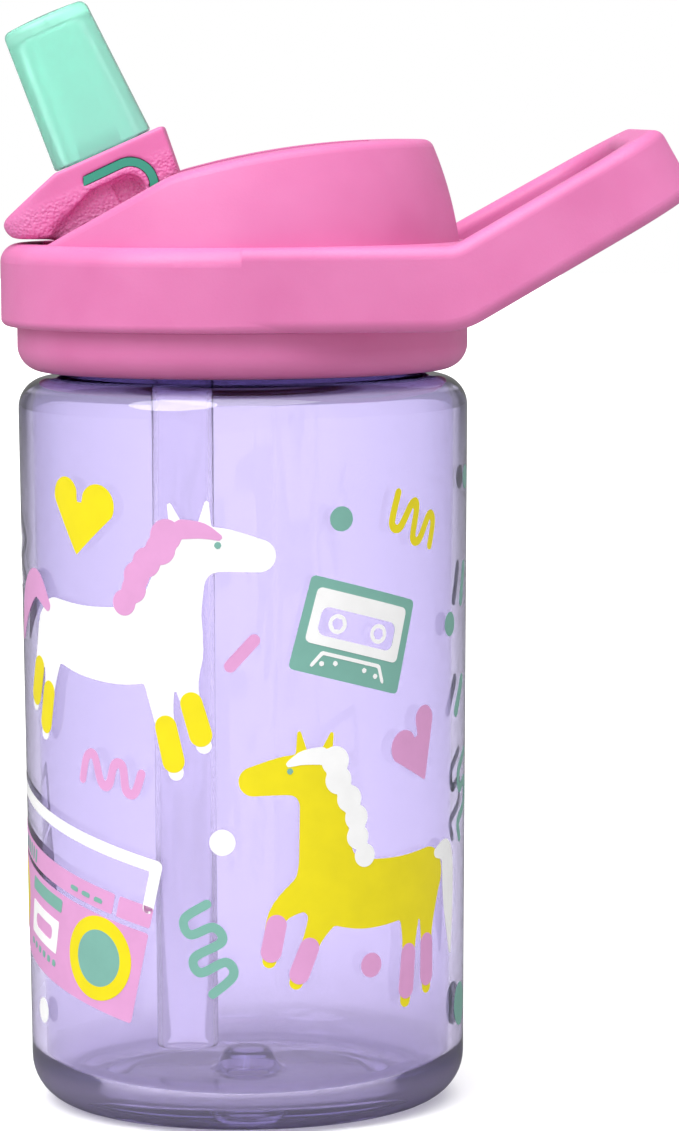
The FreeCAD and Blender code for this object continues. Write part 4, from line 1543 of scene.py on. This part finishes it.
@dataclass
class Radio(Tilted):
    """A plain portable radio with two speakers, tilted."""

    centre: Point = (-42.0, 33.2)
    tilt: float = -13.5
    width: float = 50.0
    height: float = 19.6

    def build(self, wall: Wall) -> list[bpy.types.Object]:
        """Print the radio's films.

        Args:
            wall: The wall it is printed on.

        Returns:
            The films.
        """
        box = (self.centre[0] - 30, self.centre[1] - 20, self.centre[0] + 30, self.centre[1] + 26)
        speakers = [self.at(x, -1.6) for x in (-16.2, 16.2)]
        grooves = self.panel(0, 5.9, 52, 0.9, 0.05) | self.panel(18.0, 8.1, 0.9, 4.6, 0.05)
        case = Panel(self.centre, self.width, self.height, 0.5, self.tilt) - grooves
        cones = Joined(tuple(Disc(c, 4.65) for c in speakers))
        rings = Joined(tuple(Disc(c, 6.9) for c in speakers)) - cones
        window = self.panel(0, -2.2, 7.0, 2.4, 0.9)
        door = self.panel(0, -2.2, 11.0, 5.6, 0.3) - window
        keys = [self.panel(-13 + 1.5 * i, 8.0, 0.7, 2.4) for i in range(6)]
        keys += [self.panel(8.5 + 2.9 * i, 7.7, 1.9, 0.8) for i in range(3)]
        keys += [self.panel(-5.0 + 2.0 * i, -6.7, 1.1, 1.1) for i in range(6)]
        keys.append(self.panel(0, 3.4, 11.6, 2.2))
        handle = plain_stroke(
            [self.at(-24, 9.6), self.at(-24, 16.4), self.at(24, 16.4), self.at(24, 9.6)], 2.0, False
        )
        return [
            wall.print_film("print_radio_case", case, box, Pigment.PINK),
            wall.print_film("print_radio_rings", rings, box, Pigment.YELLOW, 1),
            wall.print_film("print_radio_cones", cones, box, Pigment.TEAL, 1),
            wall.print_film("print_radio_door", door, box, Pigment.WHITE, 1),
            wall.print_film("print_radio_keys", Joined(tuple(keys)), box, Pigment.TEAL, 1),
            wall.print_film("print_radio_handle", handle, box, Pigment.WHITE),
        ]


@dataclass
class PrintedArt:
    """The whole print: two ponies, a cassette, a radio, and hearts, dots and squiggles between them."""

    wall: Wall

    def ponies(self) -> list[Pony]:
        """The two ponies."""
        return [
            Pony(
                "pony_white", (-23.0, 80.3), 1.05, Facing.RIGHT,
                Pigment.WHITE, Pigment.PINK, Pigment.YELLOW,
                legs=(
                    ((8.4, -3.0), (9.2, -11.5), (11.2, -20.4)),
                    ((12.4, -2.0), (13.2, -8.0), (15.6, -16.2)),
                    ((-13.2, -2.0), (-14.2, -8.0), (-16.2, -16.2)),
                    ((-14.6, 0.0), (-17.4, -4.6), (-19.8, -12.0)),
                ),
                tail=((-14.6, 3.6), (-19.0, 6.8), (-23.6, 3.6), (-26.6, -2.4)),
            ),
            Pony(
                "pony_yellow", (22.8, 39.9), 0.95, Facing.LEFT,
                Pigment.YELLOW, Pigment.WHITE, Pigment.PINK,
                legs=(
                    ((9.6, -2.6), (12.6, -8.2), (15.6, -15.6)),
                    ((12.8, 0.2), (18.6, -4.0), (20.2, -11.8)),
                    ((-7.4, -3.0), (-7.2, -10.4), (-6.2, -20.6)),
                    ((-12.6, -2.0), (-12.0, -9.4), (-12.0, -19.0)),
                ),
                tail=((-15.2, 3.6), (-19.0, 3.0), (-19.8, -5.0), (-20.6, -14.2)),
                lift=(-1.5, 6.0),
            ),
        ]

    def sprinkles(self) -> list[tuple[str, Shape, Pigment]]:
        """The small shapes between the large ones."""
        return [
            ("heart_yellow",
             heart((-29.8, 93.2), (-32.4, 102.4), (-25.2, 100.9), 2.9, 3.5), Pigment.YELLOW),
            ("heart_pink", heart((33.4, 56.0), (28.4, 61.4), (33.4, 65.6), 2.9, 2.3), Pigment.PINK),
            ("dot_teal_high", Disc((15.9, 99.0), 2.0), Pigment.TEAL),
            ("dot_teal_side", Disc((41.8, 80.2), 2.0), Pigment.TEAL),
            ("dot_white_middle", Disc((-3.8, 47.8), 2.1), Pigment.WHITE),
            ("dot_white_low", Disc((-43.3, 17.0), 2.1), Pigment.WHITE),
            ("dot_pink_low", Disc((21.4, 26.9), 2.0), Pigment.PINK),
            ("dot_teal_low", Disc((48.6, 16.6), 3.6), Pigment.TEAL),
            ("bar_pink", plain_stroke([(-2.3, 76.0), (1.5, 80.1)], 2.0, False), Pigment.PINK),
            ("bar_teal", plain_stroke([(45.0, 65.6), (48.4, 70.4)], 2.0, False), Pigment.TEAL),
            ("bar_teal_high", plain_stroke([(49.6, 89.0), (47.6, 83.6)], 2.0, False), Pigment.TEAL),
            ("squiggle_yellow", plain_stroke(
                [(26.9, 102.7), (25.5, 97.8), (27.2, 97.0), (30.0, 100.7), (31.2, 100.2), (30.2, 95.2),
                 (31.8, 94.8), (34.4, 98.6), (35.6, 97.6), (34.6, 93.6)], 1.3), Pigment.YELLOW),
            ("squiggle_pink", plain_stroke(
                [(-29.3, 56.8), (-28.3, 60.4), (-26.6, 60.8), (-25.2, 56.6), (-23.6, 56.2), (-22.4, 59.6),
                 (-20.8, 59.4), (-20.2, 55.6), (-18.6, 55.2), (-17.3, 58.4)], 1.5), Pigment.PINK),
            ("squiggle_teal", plain_stroke(
                [(-6.4, 37.9), (-10.2, 35.4), (-9.2, 32.9), (-5.4, 34.2), (-4.0, 31.9), (-8.6, 29.2),
                 (-7.6, 26.8), (-3.4, 28.6), (-2.2, 26.4), (-5.6, 23.4)], 1.5), Pigment.TEAL),
            ("squiggle_teal_side", plain_stroke(
                [(51.0, 58.4), (46.8, 55.6), (47.4, 52.6), (51.4, 53.6), (51.2, 49.8), (46.6, 47.2),
                 (47.6, 44.4)], 1.5), Pigment.TEAL),
            ("squiggle_white_side", plain_stroke(
                [(-56.0, 97.0), (-52.6, 93.4), (-56.2, 90.4), (-52.8, 87.0)], 1.5), Pigment.WHITE),
            ("dot_teal_far", Disc((50.6, 103.6), 2.0), Pigment.TEAL),
        ]

    def build(self) -> list[bpy.types.Object]:
        """Print everything.

        Returns:
            Every film of ink.
        """
        films: list[bpy.types.Object] = []
        for motif in (*self.ponies(), Tape(), Radio()):
            films += motif.build(self.wall)
        for name, shape, pigment in self.sprinkles():
            box = self.box_of(shape)
            films.append(self.wall.print_film(f"print_{name}", shape, box, pigment))
        return films

    def box_of(self, shape: Shape) -> Box:
        """Find the part of the wall that holds a shape.

        Args:
            shape: The shape.

        Returns:
            Lowest u and v, then highest u and v.
        """
        us, vs = np.arange(-70.0, 70.0, 1.0), np.arange(0.0, 120.0, 1.0)
        near = shape.distance(*np.meshgrid(us, vs, indexing="ij")) < 1.5
        rows, columns = np.nonzero(near)
        return (
            float(us[rows.min()]) - 1, float(vs[columns.min()]) - 1,
            float(us[rows.max()]) + 1, float(vs[columns.max()]) + 1,
        )


# ---------------------------------------------------------------------------------- cap parts
@dataclass
class CapFinishes:
    """Finishes of the mouldings that keep their CAD meshes."""

    def finishes(self) -> dict[str, Finish]:
        """Each CAD node that is shown, with what it is made of."""
        pink = SparkErodedPolypropylene("polypropylene_spark_eroded_pink")
        white = MattSilicone("silicone_moulded_white", "#E9E6E4")
        return {
            "cap_shell": pink,
            "cap_insert": pink,
            "stem_seal": MattSilicone("silicone_moulded_teal"),
            "cap_gasket": white,
            "spout_seat": white,
            "vent_valve": white,
            "straw_elbow": ExtrudedPolypropyleneTube("polypropylene_moulded_clear"),
        }

    def build(self) -> list[bpy.types.Object]:
        """Dress the CAD nodes.

        Returns:
            The nodes.
        """
        dressed = []
        for node, finish in self.finishes().items():
            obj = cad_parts[node]
            for slot in obj.material_slots:
                slot.material = finish.material()
            dressed.append(obj)
        return dressed


# ------------------------------------------------------------------------------------- studio
@dataclass
class Studio:
    """Pale floor, white surroundings, soft suns and the camera."""

    focal_mm: float = 153.71
    camera_at: Point3 = (0.001112, -0.79483, 0.163235)
    pitch: float = 0.0938
    yaw: float = 0.0184
    roll: float = -0.0058
    floor_half: float = 4.0
    surround: float = 0.66
    flagged: float = 0.26
    bounces: int = 24
    clear_bounces: int = 16

    def camera(self) -> None:
        """Aim the camera at the bottle's front."""
        data = bpy.data.cameras.new("camera")
        data.lens = self.focal_mm
        data.clip_start, data.clip_end = 0.01, 50.0
        obj = bpy.data.objects.new("camera", data)
        bpy.context.scene.collection.objects.link(obj)
        aim = Vector((
            math.sin(self.yaw) * math.cos(self.pitch),
            math.cos(self.yaw) * math.cos(self.pitch),
            -math.sin(self.pitch),
        ))
        turn = aim.to_track_quat("-Z", "Y").to_matrix().to_4x4() @ Matrix.Rotation(self.roll, 4, "Z")
        obj.matrix_world = Matrix.Translation(self.camera_at) @ turn
        bpy.context.scene.camera = obj

    def world(self) -> None:
        """Surround the object with even light, and show plain white behind it."""
        world = bpy.data.worlds.new("white_surround")
        world.use_nodes = True
        tree = world.node_tree
        tree.nodes.clear()
        path = add_node(tree, "ShaderNodeLightPath").outputs
        seen = add_node(
            tree, "ShaderNodeMath", {0: path["Is Camera Ray"], 1: path["Is Transmission Ray"]},
            operation="MAXIMUM",
        ).outputs[0]
        mirrored = add_node(
            tree, "ShaderNodeMath", {0: path["Is Reflection Ray"], 1: path["Is Glossy Ray"]},
            operation="MULTIPLY",
        ).outputs[0]
        plain = add_node(
            tree, "ShaderNodeMath", {0: seen, 1: 1.0 - self.surround, 2: self.surround},
            operation="MULTIPLY_ADD",
        ).outputs[0]
        strength = add_node(
            tree, "ShaderNodeMath", {0: mirrored, 1: self.flagged - self.surround, 2: plain},
            operation="MULTIPLY_ADD",
        ).outputs[0]
        light = add_node(tree, "ShaderNodeBackground", {"Color": (1, 1, 1, 1), "Strength": strength})
        output = add_node(tree, "ShaderNodeOutputWorld")
        tree.links.new(light.outputs[0], output.inputs["Surface"])
        bpy.context.scene.world = world

    def sun(self, name: str, strength: float, azimuth: float, elevation: float, spread: float) -> None:
        """Hang one soft, even light.

        Args:
            name: The light's name.
            strength: Its strength.
            azimuth: Degrees round from the front, to the right.
            elevation: Degrees above the floor.
            spread: Degrees across, as seen from the object.
        """
        data = bpy.data.lights.new(name, "SUN")
        data.energy = strength
        data.angle = math.radians(spread)
        obj = bpy.data.objects.new(name, data)
        bpy.context.scene.collection.objects.link(obj)
        a, e = math.radians(azimuth), math.radians(elevation)
        towards = Vector((math.sin(a) * math.cos(e), -math.cos(a) * math.cos(e), math.sin(e)))
        obj.rotation_euler = towards.to_track_quat("Z", "Y").to_euler()

    def floor_wash(self) -> None:
        """Light the floor alone, so that the object's shadow on it stays faint."""
        self.sun("floor_wash", strength=1.0, azimuth=0, elevation=88, spread=90)
        wash = bpy.data.objects["floor_wash"]
        lit = bpy.data.collections.new("floor_only")
        lit.objects.link(bpy.data.objects["floor"])
        wash.light_linking.receiver_collection = lit
        wash.light_linking.blocker_collection = lit

    def floor(self) -> None:
        """Lay the paper floor."""
        half = self.floor_half
        mesh = bpy.data.meshes.new("floor")
        mesh.from_pydata(
            [(-half, -half, 0), (half, -half, 0), (half, half, 0), (-half, half, 0)], [], [(0, 1, 2, 3)]
        )
        new_object("floor", mesh, SweepPaper("paper_matt_white").material())

    def build(self) -> None:
        """Make everything that isn't part of the object."""
        self.camera()
        self.world()
        self.floor()
        self.floor_wash()
        self.sun("key_left", strength=1.6, azimuth=-45, elevation=44, spread=40)
        self.sun("top_soft", strength=2.1, azimuth=5, elevation=74, spread=60)
        scene = bpy.context.scene
        scene.view_settings.view_transform = "Standard"
        scene.cycles.max_bounces = self.bounces
        scene.cycles.transmission_bounces = self.bounces
        scene.cycles.transparent_max_bounces = self.clear_bounces


def main() -> None:
    """Build every sub-assembly in order and report each piece."""
    logging.basicConfig(level=logging.INFO, format="%(message)s")
    Studio().build()
    made: list[bpy.types.Object] = [part().build() for part in (Bottle, Straw, BiteValve, ThumbStem)]
    made += CapFinishes().build()
    made += PrintedArt(Wall()).build()
    for piece in made:
        LOG.info("%s: %d faces", piece.name, len(piece.data.polygons))


if __name__ == "__main__":
    main()
